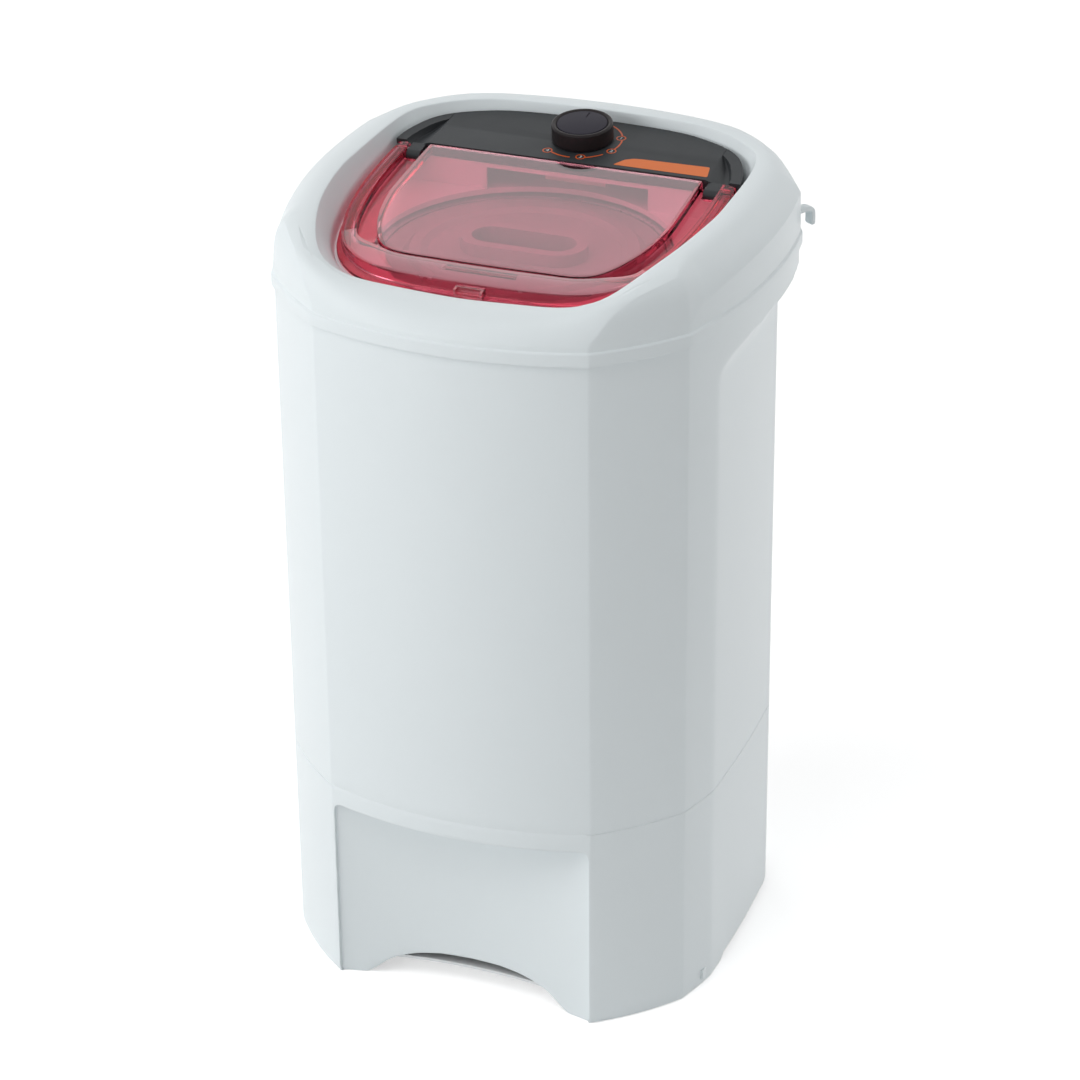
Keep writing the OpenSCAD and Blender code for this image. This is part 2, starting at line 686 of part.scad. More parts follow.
drain_tub_x = drain_x;
drain_tub_y = 100;
module outer_tub() {
  color("#E8ECEC") on_axis() difference() {
    union() {
      tube(tub_r, tub_r - tub_wall, tub_z, tub_top);
      tube(tub_flange_r, tub_r - tub_wall, tub_top - tub_flange_t, tub_top);
      translate([0, 0, tub_z]) cylinder(r = tub_r, h = 4);
      translate([0, 0, tub_z]) cylinder(r = tub_bore + 5, h = 30);
    }
    translate([0, 0, tub_z - 1]) cylinder(r = tub_bore, h = 40);
    translate([drain_tub_x, drain_tub_y - axis_y, tub_z - 1]) cylinder(r = 10, h = 10);
    for (a = screw_angles) rotate([0, 0, a]) translate([screw_ring, 0, tub_top - 8]) cylinder(r = 2, h = 10);
  }
}
bracket_x = 70;
module tub_brackets() {
  // Each block stands on the inside of the wall and carries the tub's flange.
  front_wall = -half_d + flange_step + wall;
  color(steel) intersection() {
    for (side = [-1, 1], rear = [0, 1])
      translate([side * bracket_x - 12, rear == 0 ? -half_d : axis_y + tub_r - 12, tub_top - tub_flange_t - 40])
        cube([24, rear == 0 ? 60 : half_d, 40]);
    difference() {
      slab(0, cabinet_h) plan_area(flange_step + wall + 0.05);
      on_axis() translate([0, 0, -1]) cylinder(r = tub_r + face_gap, h = cabinet_h + 2);
    }
  }
}
spigot_l = 30;
module drain_elbow() {
  reach = rear_y - 6 - drain_tub_y;
  color("#3A3D40") difference() {
    union() {
      translate([drain_x, drain_tub_y, drain_z]) cylinder(r = 14, h = tub_z - drain_z);
      translate([drain_x, drain_tub_y, drain_z]) sphere(r = 14);
      translate([drain_x, drain_tub_y, drain_z]) rotate([-90, 0, 0]) cylinder(r = drain_r, h = reach + 5);
      // Collar that stops the hose
      translate([drain_x, drain_tub_y + reach + 5 - spigot_l - 3, drain_z]) rotate([-90, 0, 0])
        cylinder(r = drain_r + 3, h = 3);
    }
    translate([drain_x, drain_tub_y, drain_z]) cylinder(r = 9.5, h = tub_z - drain_z + 1);
    translate([drain_x, drain_tub_y, drain_z]) sphere(r = 9.5);
    translate([drain_x, drain_tub_y, drain_z]) rotate([-90, 0, 0]) cylinder(r = 9.5, h = reach + 8);
  }
}
seal_z = tub_z + 14;
module shaft_seal() {
  color("#1C1E20") on_axis() tube(tub_bore - 0.05, shaft_r + face_gap, seal_z, seal_z + 12);
}

// ---- basket and its drive ----
basket_r = tub_r - tub_wall - basket_gap;
basket_z = tub_z + 4 + basket_lift;
basket_top = tub_cover_z - 4;
mouth_r = basket_r - mouth_inset;
press_r = mouth_r - press_gap;
seat_z = basket_top - 4;
module spin_basket() {
  t = basket_wall;
  color("#DDE2E4") on_axis() difference() {
    rotate_extrude() polygon([
      [20, basket_z], [basket_r - 12, basket_z], [basket_r, basket_z + 12], [basket_r, basket_top - 6],
      [basket_r - 6, basket_top], [press_r + 0.8, basket_top], [press_r + 0.8, seat_z],
      [press_r - 8, seat_z], [press_r - 8, seat_z - t], [press_r + 3, seat_z - t],
      [press_r + 3, basket_top - t], [basket_r - 7, basket_top - t], [basket_r - t, basket_top - 7],
      [basket_r - t, basket_z + 12.5], [basket_r - 12.5, basket_z + t], [20, basket_z + t]
    ]);
    for (row = [0 : 3], i = [0 : 7]) rotate([0, 0, 45 * i + 22.5 * (row % 2)])
      translate([basket_r - 8, 0, basket_z + 60 + 90 * row]) rotate([0, 90, 0]) cylinder(r = 3, h = 12);
  }
}
hub_r = 38;
module basket_hub() {
  color("#9AA0A4") on_axis() difference() {
    union() {
      translate([0, 0, basket_z - 5]) cylinder(r = hub_r, h = 5);
      translate([0, 0, basket_z - 5]) cylinder(r = 20, h = 5 + basket_wall + 18);
    }
    translate([0, 0, basket_z - 10]) cylinder(r = shaft_r, h = 60);
  }
}
hub_top = basket_z + basket_wall + 18;
module hub_washer() {
  color(steel) on_axis() tube(15, shaft_r, hub_top, hub_top + 2);
}
module hub_nut() {
  color(steel) on_axis() difference() {
    translate([0, 0, hub_top + 2]) cylinder(r = 14, h = 10, $fn = 6);
    translate([0, 0, hub_top]) cylinder(r = shaft_r, h = 20);
  }
}
motor_z = base_top + mount_h + 3;
shaft_bottom = motor_z + 6;
module drive_shaft() {
  color("#C9CDD0") on_axis() translate([0, 0, shaft_bottom]) cylinder(r = shaft_r, h = hub_top + 16 - shaft_bottom);
}
// Outer edge of the raised ring round the dish
dish_r = press_r - 17;
grip_l = 116;
grip_w = 54;
module stadium(length, width) {
  union() {
    for (side = [-1, 1]) translate([side * (length - width) / 2, 0]) circle(r = width / 2);
    square([length - width, width], center = true);
  }
}
module press_disc() {
  z0 = seat_z + face_gap;
  color(white) on_axis() difference() {
    union() {
      rotate_extrude() polygon([
        [0, z0], [press_r, z0], [press_r, z0 + 2.5], [dish_r, z0 + 2.5], [dish_r - 6, z0 + 8],
        [dish_r - 16, z0 + 8], [dish_r - 22, z0 + 4.5], [0, z0 + 4.5]
      ]);
      slab(z0 + 2, z0 + 16) stadium(grip_l, grip_w);
    }
    rotate_extrude() polygon([
      [dish_r - 28, z0 - 1], [dish_r, z0 - 1], [dish_r, z0], [dish_r - 8, z0 + 5.5], [dish_r - 15, z0 + 5.5],
      [dish_r - 22, z0]
    ]);
    slab(z0 - 1, z0 + 20) stadium(grip_l - 20, grip_w - 20);
  }
}

// ---- brake ----
// The lever swings on a pin a quarter turn away from its pad, so the pad closes square on the drum.
brake_z = tub_z - 24;
pad_t = 6;
lever_w = 8;
lever_ring = brake_r + brake_gap + pad_t + lever_w / 2;
pivot_r = 3;
// Wedge of the plan from angle a0 to a1, less than half a turn.
module wedge(a0, a1) {
  polygon([[0, 0], 200 * [cos(a0), sin(a0)], 280 * [cos((a0 + a1) / 2), sin((a0 + a1) / 2)], 200 * [cos(a1), sin(a1)]]);
}
module brake_drum() {
  color("#7D8387") on_axis() {
    tube(brake_r, brake_r - 4, brake_z, brake_z + 16);
    tube(brake_r, shaft_r, brake_z, brake_z + 3);
    tube(14, shaft_r, brake_z, brake_z + 16);
  }
}
module brake_pivot() {
  color(steel) on_axis() translate([0, lever_ring, motor_top]) {
    cylinder(r = pivot_r, h = brake_z + 14 - motor_top);
    cylinder(r = 5, h = brake_z - motor_top + 1.7);
  }
}
module brake_lever() {
  color("#A9AEB2") on_axis() difference() {
    union() {
      intersection() {
        tube(lever_ring + lever_w / 2, lever_ring - lever_w / 2, brake_z + 2, brake_z + 12);
        slab(brake_z, brake_z + 20) wedge(-9, 90);
      }
      translate([0, lever_ring, brake_z + 2]) cylinder(r = 7, h = 10);
    }
    translate([0, lever_ring, brake_z]) cylinder(r = pivot_r + run_gap, h = 20);
  }
}
module brake_pad() {
  color("#4A3B32") on_axis() intersection() {
    tube(lever_ring - lever_w / 2 - 0.1, brake_r + brake_gap, brake_z + 2, brake_z + 12);
    slab(brake_z, brake_z + 20) wedge(-9, 12);
  }
}

// ---- motor ----
motor_shell = 3;
motor_top = motor_z + motor_h + 6;
bearing_h = 10;
bearing_r = 16;
stator_z = motor_z + 22;
stator_h = 48;
rotor_r = 33;
air_gap = 0.7;
module motor_housing() {
  color("#5E6468") on_axis() difference() {
    translate([0, 0, motor_z]) cylinder(r = motor_r, h = motor_h);
    translate([0, 0, motor_z + motor_shell + bearing_h]) cylinder(r = motor_r - motor_shell, h = motor_h);
    translate([0, 0, motor_z + motor_shell]) cylinder(r = bearing_r, h = motor_h);
    translate([0, 0, motor_z - 1]) cylinder(r = shaft_r + 2, h = 20);
    tube(motor_r - 8, bearing_r + 5, motor_z + motor_shell, motor_z + motor_shell + bearing_h + 1);
    for (i = [0 : 5]) rotate([0, 0, 60 * i]) translate([motor_r - 6, -6, motor_z + 74]) cube([12, 12, 8]);
  }
}
module motor_cover() {
  color("#6C7276") on_axis() difference() {
    union() {
      translate([0, 0, motor_z + motor_h]) cylinder(r = motor_r, h = 6);
      translate([0, 0, motor_z + motor_h - 8]) cylinder(r = bearing_r + 4, h = 14);
      for (i = [0 : 2]) rotate([0, 0, 120 * i + bolt_turn]) translate([motor_r + 4, 0, motor_z + motor_h])
        cylinder(r = 8, h = 6);
    }
    translate([0, 0, motor_z + motor_h - 9]) cylinder(r = bearing_r, h = bearing_h + 1);
    translate([0, 0, motor_z]) cylinder(r = shaft_r + 2, h = motor_h + 20);
    for (i = [0 : 2]) rotate([0, 0, 120 * i + bolt_turn]) translate([motor_r + 4, 0, motor_z])
      cylinder(r = 2.7, h = 200);
  }
}
bolt_turn = 30;
module motor_bolts() {
  color(steel) on_axis() for (i = [0 : 2]) rotate([0, 0, 120 * i + bolt_turn])
    translate([motor_r + 4, 0, motor_top]) screw(2.4, 4.5, 3, motor_top - motor_z + 2);
}
module stator() {
  color("#4B5054") on_axis() difference() {
    tube(motor_r - motor_shell - 0.05, rotor_r + air_gap, stator_z, stator_z + stator_h);
    for (i = [0 : 11]) rotate([0, 0, 30 * i]) translate([rotor_r + 6, 0, stator_z - 1])
      cylinder(r = 4, h = stator_h + 2);
  }
}
module stator_windings() {
  color("#B5652A") on_axis() {
    tube(motor_r - 8, rotor_r + 2, stator_z + stator_h, stator_z + stator_h + 12);
    tube(motor_r - 8, rotor_r + 2, stator_z - 8, stator_z);
    for (i = [0 : 11]) rotate([0, 0, 30 * i]) translate([rotor_r + 6, 0, stator_z])
      cylinder(r = 3.7, h = stator_h);
  }
}
module rotor() {
  color("#8A8F93") on_axis() union() {
    tube(rotor_r, shaft_r, stator_z, stator_z + stator_h);
    for (z = [stator_z - 4, stator_z + stator_h]) tube(rotor_r - 1, shaft_r + 8, z, z + 4);
  }
}
module upper_bearing() {
  color(steel) on_axis() tube(bearing_r, shaft_r + run_gap, motor_z + motor_h - 8, motor_z + motor_h + 2);
}
module lower_bearing() {
  color(steel) on_axis() tube(bearing_r, shaft_r + run_gap, motor_z + motor_shell, motor_z + motor_shell + bearing_h);
}
mount_ring = 92;
mount_angles = [30, 150, 270];
bolt_r = 3;
module motor_bracket() {
  color("#8D9296") on_axis() difference() {
    union() {
      translate([0, 0, motor_z - 3]) cylinder(r = motor_r + 12, h = 3);
      for (a = mount_angles) rotate([0, 0, a]) translate([0, -18, motor_z - 3]) cube([mount_ring + 16, 36, 3]);
    }
    translate([0, 0, motor_z - 5]) cylinder(r = 20, h = 10);
    for (a = mount_angles) rotate([0, 0, a]) translate([mount_ring, 0, motor_z - 5])
      cylinder(r = bolt_r + 0.3, h = 10);
    for (i = [0 : 2]) rotate([0, 0, 120 * i + bolt_turn]) translate([motor_r + 4, 0, motor_z - 5])
      cylinder(r = 2.7, h = 10);
  }
}
module rubber_mounts() {
  color("#191B1D") on_axis() for (a = mount_angles) rotate([0, 0, a]) translate([mount_ring, 0, base_top])
    difference() {
      rotate_extrude() polygon([
        [0, 0], [15, 0], [15, 5], [11, mount_h / 2], [15, mount_h - 5], [15, mount_h], [0, mount_h]
      ]);
      translate([0, 0, -1]) cylinder(r = bolt_r + 0.3, h = mount_h + 2);
    }
}
module mount_bolts() {
  color(steel) on_axis() for (a = mount_angles) rotate([0, 0, a]) translate([mount_ring, 0, motor_z]) {
    translate([0, 0, -motor_z + base_z - 1]) cylinder(r = bolt_r, h = motor_z - base_z + 1);
    cylinder(r = 6, h = 4, $fn = 6);
    translate([0, 0, base_z - motor_z - 4]) cylinder(r = 6, h = 4, $fn = 6);
  }
}

// ---- electrics ----
cap_x = -125;
cap_y = 85;
cap_r = 20;
module capacitor() {
  color("#C8CBCD") translate([cap_x, cap_y, base_top]) {
    cylinder(r = cap_r, h = 68);
    for (side = [-1, 1]) translate([side * 6 - 2, -0.5, 68]) cube([4, 1, 8]);
  }
}
module capacitor_clamp() {
  color(steel) difference() {
    union() {
      translate([cap_x, cap_y, base_top + 30]) cylinder(r = cap_r + 1.5, h = 12);
      translate([cap_x + cap_r - 3, cap_y - 6, base_top]) cube([5.5, 12, 42]);
      translate([cap_x + cap_r, cap_y - 6, base_top]) cube([16, 12, 2]);
    }
    translate([cap_x, cap_y, base_top - 1]) cylinder(r = cap_r + 0.05, h = 80);
    translate([cap_x + cap_r + 10, cap_y, base_top - 1]) cylinder(r = 2.2, h = 6);
  }
}
module terminal_block() {
  color("#E6E2D6") difference() {
    translate([-150, 135, base_top]) cube([50, 18, 16]);
    for (i = [0 : 3]) translate([-141.5 + 11 * i, 144, base_top + 8]) cylinder(r = 3, h = 10);
  }
}
module cord_gland() {
  color("#222426") at_cord_hole() difference() {
    union() {
      cylinder(r = gland_r - run_gap, h = wall + 1, center = true);
      translate([0, 0, -wall / 2 - 3.2]) cylinder(r = gland_r + 4, h = 3);
      translate([0, 0, -wall / 2 - 0.3]) cylinder(r = gland_r - run_gap, h = 1);
      translate([0, 0, wall / 2 + 0.4]) cylinder(r = gland_r + 2, h = 1.6);
    }
    translate([0, 0, -10]) cylinder(r = 4, h = 20);
  }
}

cabinet();
base_plate();
rubber_feet();
base_screws();
top_cover();
hose_hook();
control_panel();
panel_screws();
timer_housing();
timer_shaft();
timer_knob();
knob_cap();
lid();
lid_latch();
hinge_pins();
lid_switch();
switch_plunger();
tub_cover();
tub_gasket();
tub_screws();
outer_tub();
tub_brackets();
drain_elbow();
shaft_seal();
spin_basket();
basket_hub();
hub_washer();
hub_nut();
drive_shaft();
press_disc();
brake_drum();
brake_lever();
brake_pad();
brake_pivot();
motor_cover();
motor_housing();
stator();
stator_windings();
rotor();
upper_bearing();
lower_bearing();
motor_bracket();
rubber_mounts();
mount_bolts();
motor_bolts();
capacitor();
capacitor_clamp();
terminal_block();
cord_gland();
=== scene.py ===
"""Looks of a top-loading laundry spin dryer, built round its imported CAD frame.

Sizes are in millimetres until a piece is finished. +Z is up, the front faces -Y, and the floor is at zero.
A bearing is an angle in degrees about the middle, zero at the front and positive to the right.
"""

import json
import logging
import math
from collections.abc import Callable, Sequence
from dataclasses import dataclass, field
from enum import Enum

import bmesh
import bpy
from mathutils import Matrix, Vector


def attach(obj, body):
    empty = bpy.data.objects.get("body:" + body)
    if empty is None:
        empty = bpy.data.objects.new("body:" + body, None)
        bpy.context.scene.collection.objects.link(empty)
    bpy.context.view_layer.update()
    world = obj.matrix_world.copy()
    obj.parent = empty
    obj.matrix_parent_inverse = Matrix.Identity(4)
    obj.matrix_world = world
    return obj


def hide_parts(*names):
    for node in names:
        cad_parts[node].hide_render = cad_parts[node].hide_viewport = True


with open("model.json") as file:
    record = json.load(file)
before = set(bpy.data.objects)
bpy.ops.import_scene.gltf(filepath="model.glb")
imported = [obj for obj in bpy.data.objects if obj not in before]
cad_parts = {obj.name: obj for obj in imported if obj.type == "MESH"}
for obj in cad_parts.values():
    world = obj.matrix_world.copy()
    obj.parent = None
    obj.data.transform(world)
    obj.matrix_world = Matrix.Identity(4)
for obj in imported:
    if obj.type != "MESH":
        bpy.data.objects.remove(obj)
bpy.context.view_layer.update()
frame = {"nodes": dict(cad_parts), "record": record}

LOG = logging.getLogger("spin_dryer")
MM = 0.001
FAR = 1e4
NEAR = 1e-4
SAME = 0.01
SOFT_STEPS = 8
CRISP_ANGLE = 35.0
SEEN_RAYS = ("Is Camera Ray", "Is Glossy Ray", "Is Transmission Ray")
Pair = tuple[float, float]
Triple = tuple[float, float, float]
Colour = tuple[float, float, float]


class Body(Enum):
    """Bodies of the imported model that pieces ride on."""

    MACHINE = "machine"
    LID = "lid"
    KNOB = "knob"


# ---------------------------------------------------------------- numbers


def blend(a: float, b: float, share: float) -> float:
    """Returns the value that lies a share of the way from a to b."""
    return a + (b - a) * share


def clamp(value: float, low: float = 0.0, high: float = 1.0) -> float:
    """Returns value, kept between low and high."""
    return min(max(value, low), high)


def ease(value: float, low: float, high: float) -> float:
    """Returns a smooth step from 0 at low to 1 at high."""
    t = clamp((value - low) / (high - low))
    return t * t * (3 - 2 * t)


def soft_min(a: float, b: float, width: float) -> float:
    """Returns the smaller of two values, rounded off where they are within width of each other."""
    h = max(width - abs(a - b), 0.0) / width
    return min(a, b) - h * h * width / 4


def soft_max(a: float, b: float, width: float) -> float:
    """Returns the larger of two values, rounded off where they are within width of each other."""
    return -soft_min(-a, -b, width)


def lookup(table: Sequence[Pair], x: float) -> float:
    """Reads a table of (x, value) rows in rising x, straight between rows.

    Args:
        table: the rows.
        x: where to read it.

    Returns:
        The value there, or the nearest end's value.
    """
    if x <= table[0][0]:
        return table[0][1]
    for (x0, y0), (x1, y1) in zip(table, table[1:]):
        if x <= x1:
            return blend(y0, y1, (x - x0) / (x1 - x0))
    return table[-1][1]


def soft_lookup(table: Sequence[Pair], x: float, reach: float) -> float:
    """Reads a table by bearing with its corners rounded.

    Args:
        table: the rows, from 0 to 180 degrees.
        x: the bearing in degrees.
        reach: how far to each side the weighted mean goes, in degrees.

    Returns:
        The weighted mean of the values round that bearing.
    """
    steps = [(k / SOFT_STEPS, 1 - abs(k) / (SOFT_STEPS + 1)) for k in range(-SOFT_STEPS, SOFT_STEPS + 1)]
    found = sum(lookup(table, 180 - abs(180 - abs(x + reach * at))) * weight for at, weight in steps)
    return found / sum(weight for _, weight in steps)


def polar(bearing: float, radius: float) -> Pair:
    """Returns x and y of a point at that bearing and distance from the middle."""
    a = math.radians(bearing)
    return radius * math.sin(a), -radius * math.cos(a)


# ---------------------------------------------------------------- plan shapes


@dataclass(frozen=True)
class Arc:
    """One face of the plan: an arc from start to end that bulges outwards."""

    start: Pair
    end: Pair
    bulge: float

    def radius(self) -> float:
        """Returns the arc's radius."""
        half = math.dist(self.start, self.end) / 2
        return (half * half + self.bulge * self.bulge) / (2 * self.bulge)

    def centre(self) -> Pair:
        """Returns the arc's centre."""
        dx, dy = self.end[0] - self.start[0], self.end[1] - self.start[1]
        length = math.hypot(dx, dy)
        back = self.radius() - self.bulge
        return ((self.start[0] + self.end[0]) / 2 - dy / length * back,
                (self.start[1] + self.end[1]) / 2 + dx / length * back)

    def reach(self, bearing: float, inset: float) -> float:
        """Returns the distance from the middle to the arc's circle, made smaller by inset, along a bearing."""
        x, y = self.centre()
        ux, uy = polar(bearing, 1)
        along = ux * x + uy * y
        radius = self.radius() - inset
        return along + math.sqrt(along * along - x * x - y * y + radius * radius)


@dataclass(frozen=True)
class Plan:
    """Eight-sided rounded plan that the cabinet and the top cover share."""

    half_w: float = 220.0
    half_d: float = 218.0
    face_half_w: float = 126.0
    face_bulge: float = 22.0
    side_bulge: float = 14.8
    front_corner_bulge: float = 4.0
    rear_corner_bulge: float = 6.0
    edge_softness: float = 0.4

    def corners(self) -> list[Pair]:
        """Returns the right half's corners from front to rear."""
        return [(self.face_half_w, self.face_bulge - self.half_d),
                (self.half_w - 27, 89 - self.half_d),
                (self.half_w - 6, self.half_d - 105),
                (self.face_half_w + 14, self.half_d - self.face_bulge)]

    def arcs(self) -> list[Arc]:
        """Returns the arcs of the right half, with the front and the rear face."""
        c = self.corners()
        return [Arc((-c[0][0], c[0][1]), c[0], self.face_bulge),
                Arc(c[0], c[1], self.front_corner_bulge),
                Arc(c[1], c[2], self.side_bulge),
                Arc(c[2], c[3], self.rear_corner_bulge),
                Arc(c[3], (-c[3][0], c[3][1]), self.face_bulge)]

    def radius(self, bearing: float, inset: float = 0.0, first: int = 0) -> float:
        """Returns the plan's radius at a bearing.

        Args:
            bearing: the bearing in degrees, to either side.
            inset: how far the outline is moved inwards.
            first: the first arc that counts, from the front.

        Returns:
            The distance from the middle to the outline, with its corners slightly rounded.
        """
        found = None
        for arc in self.arcs()[first:]:
            r = arc.reach(abs(bearing), inset)
            found = r if found is None else soft_min(found, r, self.edge_softness)
        return found

    def corner_bearings(self) -> list[float]:
        """Returns the bearings of the right half's corners."""
        return [math.degrees(math.atan2(x, -y)) for x, y in self.corners()]


RIM_SHAPE = [(0, -1), (0.345, -0.995), (0.64, -0.975), (0.793, -0.856), (0.92, -0.546), (0.985, -0.2),
             (1, 0.1), (0.971, 0.644), (0.845, 0.839), (0.62, 0.954), (0.345, 0.994), (0, 1)]
OPENING_SHAPE = [(0, -1), (0.35, -0.99), (0.58, -0.945), (0.73, -0.85), (0.85, -0.69), (0.93, -0.46),
                 (0.982, -0.16), (1, 0.15), (0.988, 0.5), (0.946, 0.67), (0.856, 0.815), (0.689, 0.913),
                 (0.449, 0.977), (0, 1)]


class Loop:
    """A rounded closed loop round the middle, the same to the left and right, read as a radius by bearing."""

    def __init__(self, shape: Sequence[Pair], half_w: float, front: float, rear: float, steps: int = 14) -> None:
        """Makes the loop.

        Args:
            shape: the right half from front to rear, as shares of the half sizes.
            half_w: half the width.
            front: distance from the middle to the front.
            rear: distance from the middle to the rear.
            steps: points between two points of the shape.
        """
        half = [(x * half_w, y * (front if y < 0 else rear)) for x, y in shape]
        loop = half + [(-x, y) for x, y in half[-2:0:-1]]
        count = len(loop)
        rows = []
        for i in range(len(half) - 1):
            a, b, c, d = (loop[(i + k) % count] for k in (-1, 0, 1, 2))
            for k in range(steps + (i == len(half) - 2)):
                t = k / steps
                x, y = (0.5 * (2 * b[n] + (c[n] - a[n]) * t + (2 * a[n] - 5 * b[n] + 4 * c[n] - d[n]) * t * t
                               + (3 * b[n] - a[n] - 3 * c[n] + d[n]) * t ** 3) for n in (0, 1))
                rows.append((math.degrees(math.atan2(x, -y)), math.hypot(x, y)))
        self.rows = rows

    def radius(self, bearing: float) -> float:
        """Returns the loop's radius at a bearing to either side."""
        return lookup(self.rows, abs(bearing))


PLAN = Plan()


@dataclass(frozen=True)
class Slope:
    """Tilted plane that the lid and the panel lie in, highest at the rear."""

    height: float = 710.7
    tilt: float = 5.7

    def rise(self, y: float) -> float:
        """Returns the plane's height over the floor at a distance behind the middle."""
        return self.height + math.tan(math.radians(self.tilt)) * y

    def matrix(self) -> Matrix:
        """Returns the transform in metres from the plane's own frame to the machine's."""
        return Matrix.Translation((0, 0, self.height * MM)) @ Matrix.Rotation(math.radians(self.tilt), 4, "X")


SLOPE = Slope()
SLOPE_MATRIX = SLOPE.matrix()


# ---------------------------------------------------------------- mesh tools


def sweep(bm: bmesh.types.BMesh, rings: Sequence[Sequence[Vector]], closed: bool = True) -> None:
    """Carries a ring of points through a row of sections by extrusion.

    Args:
        bm: the mesh to add to.
        rings: the sections, each a closed ring of as many points.
        closed: whether the last section is joined back to the first; if not, both ends are capped.
    """
    first = row = bmesh.ops.create_circle(bm, cap_ends=False, segments=len(rings[0]), radius=1.0)["verts"]
    edges = list({e for v in row for e in v.link_edges})
    for vert, place in zip(row, rings[0]):
        vert.co = place
    for ring in rings[1:]:
        made = bmesh.ops.extrude_edge_only(bm, edges=edges)["geom"]
        fresh = {g for g in made if isinstance(g, bmesh.types.BMVert)}
        row = [next(o for o in (e.other_vert(v) for e in v.link_edges) if o in fresh) for v in row]
        edges = [g for g in made if isinstance(g, bmesh.types.BMEdge) and all(v in fresh for v in g.verts)]
        for vert, place in zip(row, ring):
            vert.co = place
    if closed:
        bmesh.ops.weld_verts(bm, targetmap=dict(zip(row, first)))
    else:
        for end in (first, row):
            bmesh.ops.contextual_create(bm, geom=list(end))


def trim(bm: bmesh.types.BMesh, y: float, side: int) -> list[bmesh.types.BMEdge]:
    """Cuts a mesh off square at a distance behind the middle.

    Args:
        bm: the mesh.
        y: the distance.
        side: 1 to take away what is behind the cut, -1 to take away what is in front of it.

    Returns:
        The edges that the cut leaves open.
    """
    bmesh.ops.bisect_plane(bm, geom=[*bm.verts, *bm.edges, *bm.faces], dist=NEAR, plane_co=(0, y, 0),
                           plane_no=(0, side, 0), clear_outer=True)
    return [e for e in bm.edges if e.is_boundary]


def bevel(bm: bmesh.types.BMesh, edges: Sequence[bmesh.types.BMEdge], width: float, segments: int) -> None:
    """Rounds a mesh's chosen edges."""
    bmesh.ops.bevel(bm, geom=list(edges), offset=width, offset_type="OFFSET", segments=segments, profile=0.5,
                    affect="EDGES", material=-1)


def block(bm: bmesh.types.BMesh, low: Sequence[float], high: Sequence[float]) -> list[bmesh.types.BMVert]:
    """Adds a box between two corners and returns its vertices."""
    size = [h - l for l, h in zip(low, high)]
    middle = [(h + l) / 2 for l, h in zip(low, high)]
    place = Matrix.Translation(middle) @ Matrix.Diagonal((*size, 1))
    return bmesh.ops.create_cube(bm, size=1.0, matrix=place)["verts"]


def drum(bm: bmesh.types.BMesh, radius: float, low: float, high: float, place: Matrix, segments: int = 48) -> None:
    """Adds a capped cylinder along its own Z from low to high, set by a transform."""
    shift = Matrix.Translation((0, 0, (low + high) / 2))
    bmesh.ops.create_cone(bm, cap_ends=True, segments=segments, radius1=radius, radius2=radius, depth=high - low,
                          matrix=place @ shift)


def turned(bm: bmesh.types.BMesh, profile: Sequence[Pair], steps: int = 96) -> None:
    """Spins a profile of (radius, height) points a full turn about Z."""
    verts = [bm.verts.new((r, 0, z)) for r, z in profile]
    edges = [bm.edges.new(pair) for pair in zip(verts, verts[1:])]
    bmesh.ops.spin(bm, geom=verts + edges, cent=(0, 0, 0), axis=(0, 0, 1), angle=math.tau, steps=steps, use_merge=True)
    bmesh.ops.remove_doubles(bm, verts=bm.verts, dist=0.002)


def mesh_object(name: str, bm: bmesh.types.BMesh, sharp: float = 32.0) -> bpy.types.Object:
    """Turns a mesh in millimetres into an object in metres at the origin.

    Args:
        name: the object's name.
        bm: the mesh, which is used up.
        sharp: edges that turn more than this many degrees stay crisp.

    Returns:
        The object, linked to the scene.
    """
    bmesh.ops.recalc_face_normals(bm, faces=bm.faces)
    bmesh.ops.scale(bm, vec=(MM, MM, MM), verts=bm.verts)
    mesh = bpy.data.meshes.new(name)
    bm.to_mesh(mesh)
    bm.free()
    mesh.shade_smooth()
    mesh.set_sharp_from_angle(angle=math.radians(sharp))
    made = bpy.data.objects.new(name, mesh)
    bpy.context.scene.collection.objects.link(made)
    return made


def settle(piece: bpy.types.Object, sharp: float) -> None:
    """Applies a piece's modifiers to its mesh, and marks edges that turn more than sharp degrees as crisp again."""
    bpy.context.view_layer.update()
    shaped = piece.evaluated_get(bpy.context.evaluated_depsgraph_get())
    mesh = bpy.data.meshes.new_from_object(shaped)
    piece.modifiers.clear()
    old, piece.data = piece.data, mesh
    mesh.name = piece.name
    bpy.data.meshes.remove(old)
    mesh.shade_smooth()
    mesh.set_sharp_from_angle(angle=math.radians(sharp))


def carve(piece: bpy.types.Object, build: Callable[[bmesh.types.BMesh], None], sharp: float = 32.0,
          overlapping: bool = False) -> None:
    """Cuts away from a piece whatever a builder makes.

    Args:
        piece: the piece to cut.
        build: adds the cutting shapes, in millimetres, to the mesh it is given.
        sharp: edges that turn more than this many degrees stay crisp.
        overlapping: whether the cutting shapes overlap one another.
    """
    bm = bmesh.new()
    build(bm)
    tool = mesh_object("cutting_tool", bm)
    cut = piece.modifiers.new("cut", "BOOLEAN")
    cut.operation = "DIFFERENCE"
    cut.solver = "EXACT"
    cut.use_self = overlapping
    cut.object = tool
    settle(piece, sharp)
    bpy.data.objects.remove(tool)


def round_edges(piece: bpy.types.Object, width: float, segments: int = 2) -> None:
    """Rounds a piece's crisp edges with a live bevel of that width in millimetres."""
    edge = piece.modifiers.new("rounded", "BEVEL")
    edge.width = width * MM
    edge.segments = segments
    edge.limit_method = "ANGLE"
    edge.angle_limit = math.radians(CRISP_ANGLE)
    edge.harden_normals = True


# ---------------------------------------------------------------- materials


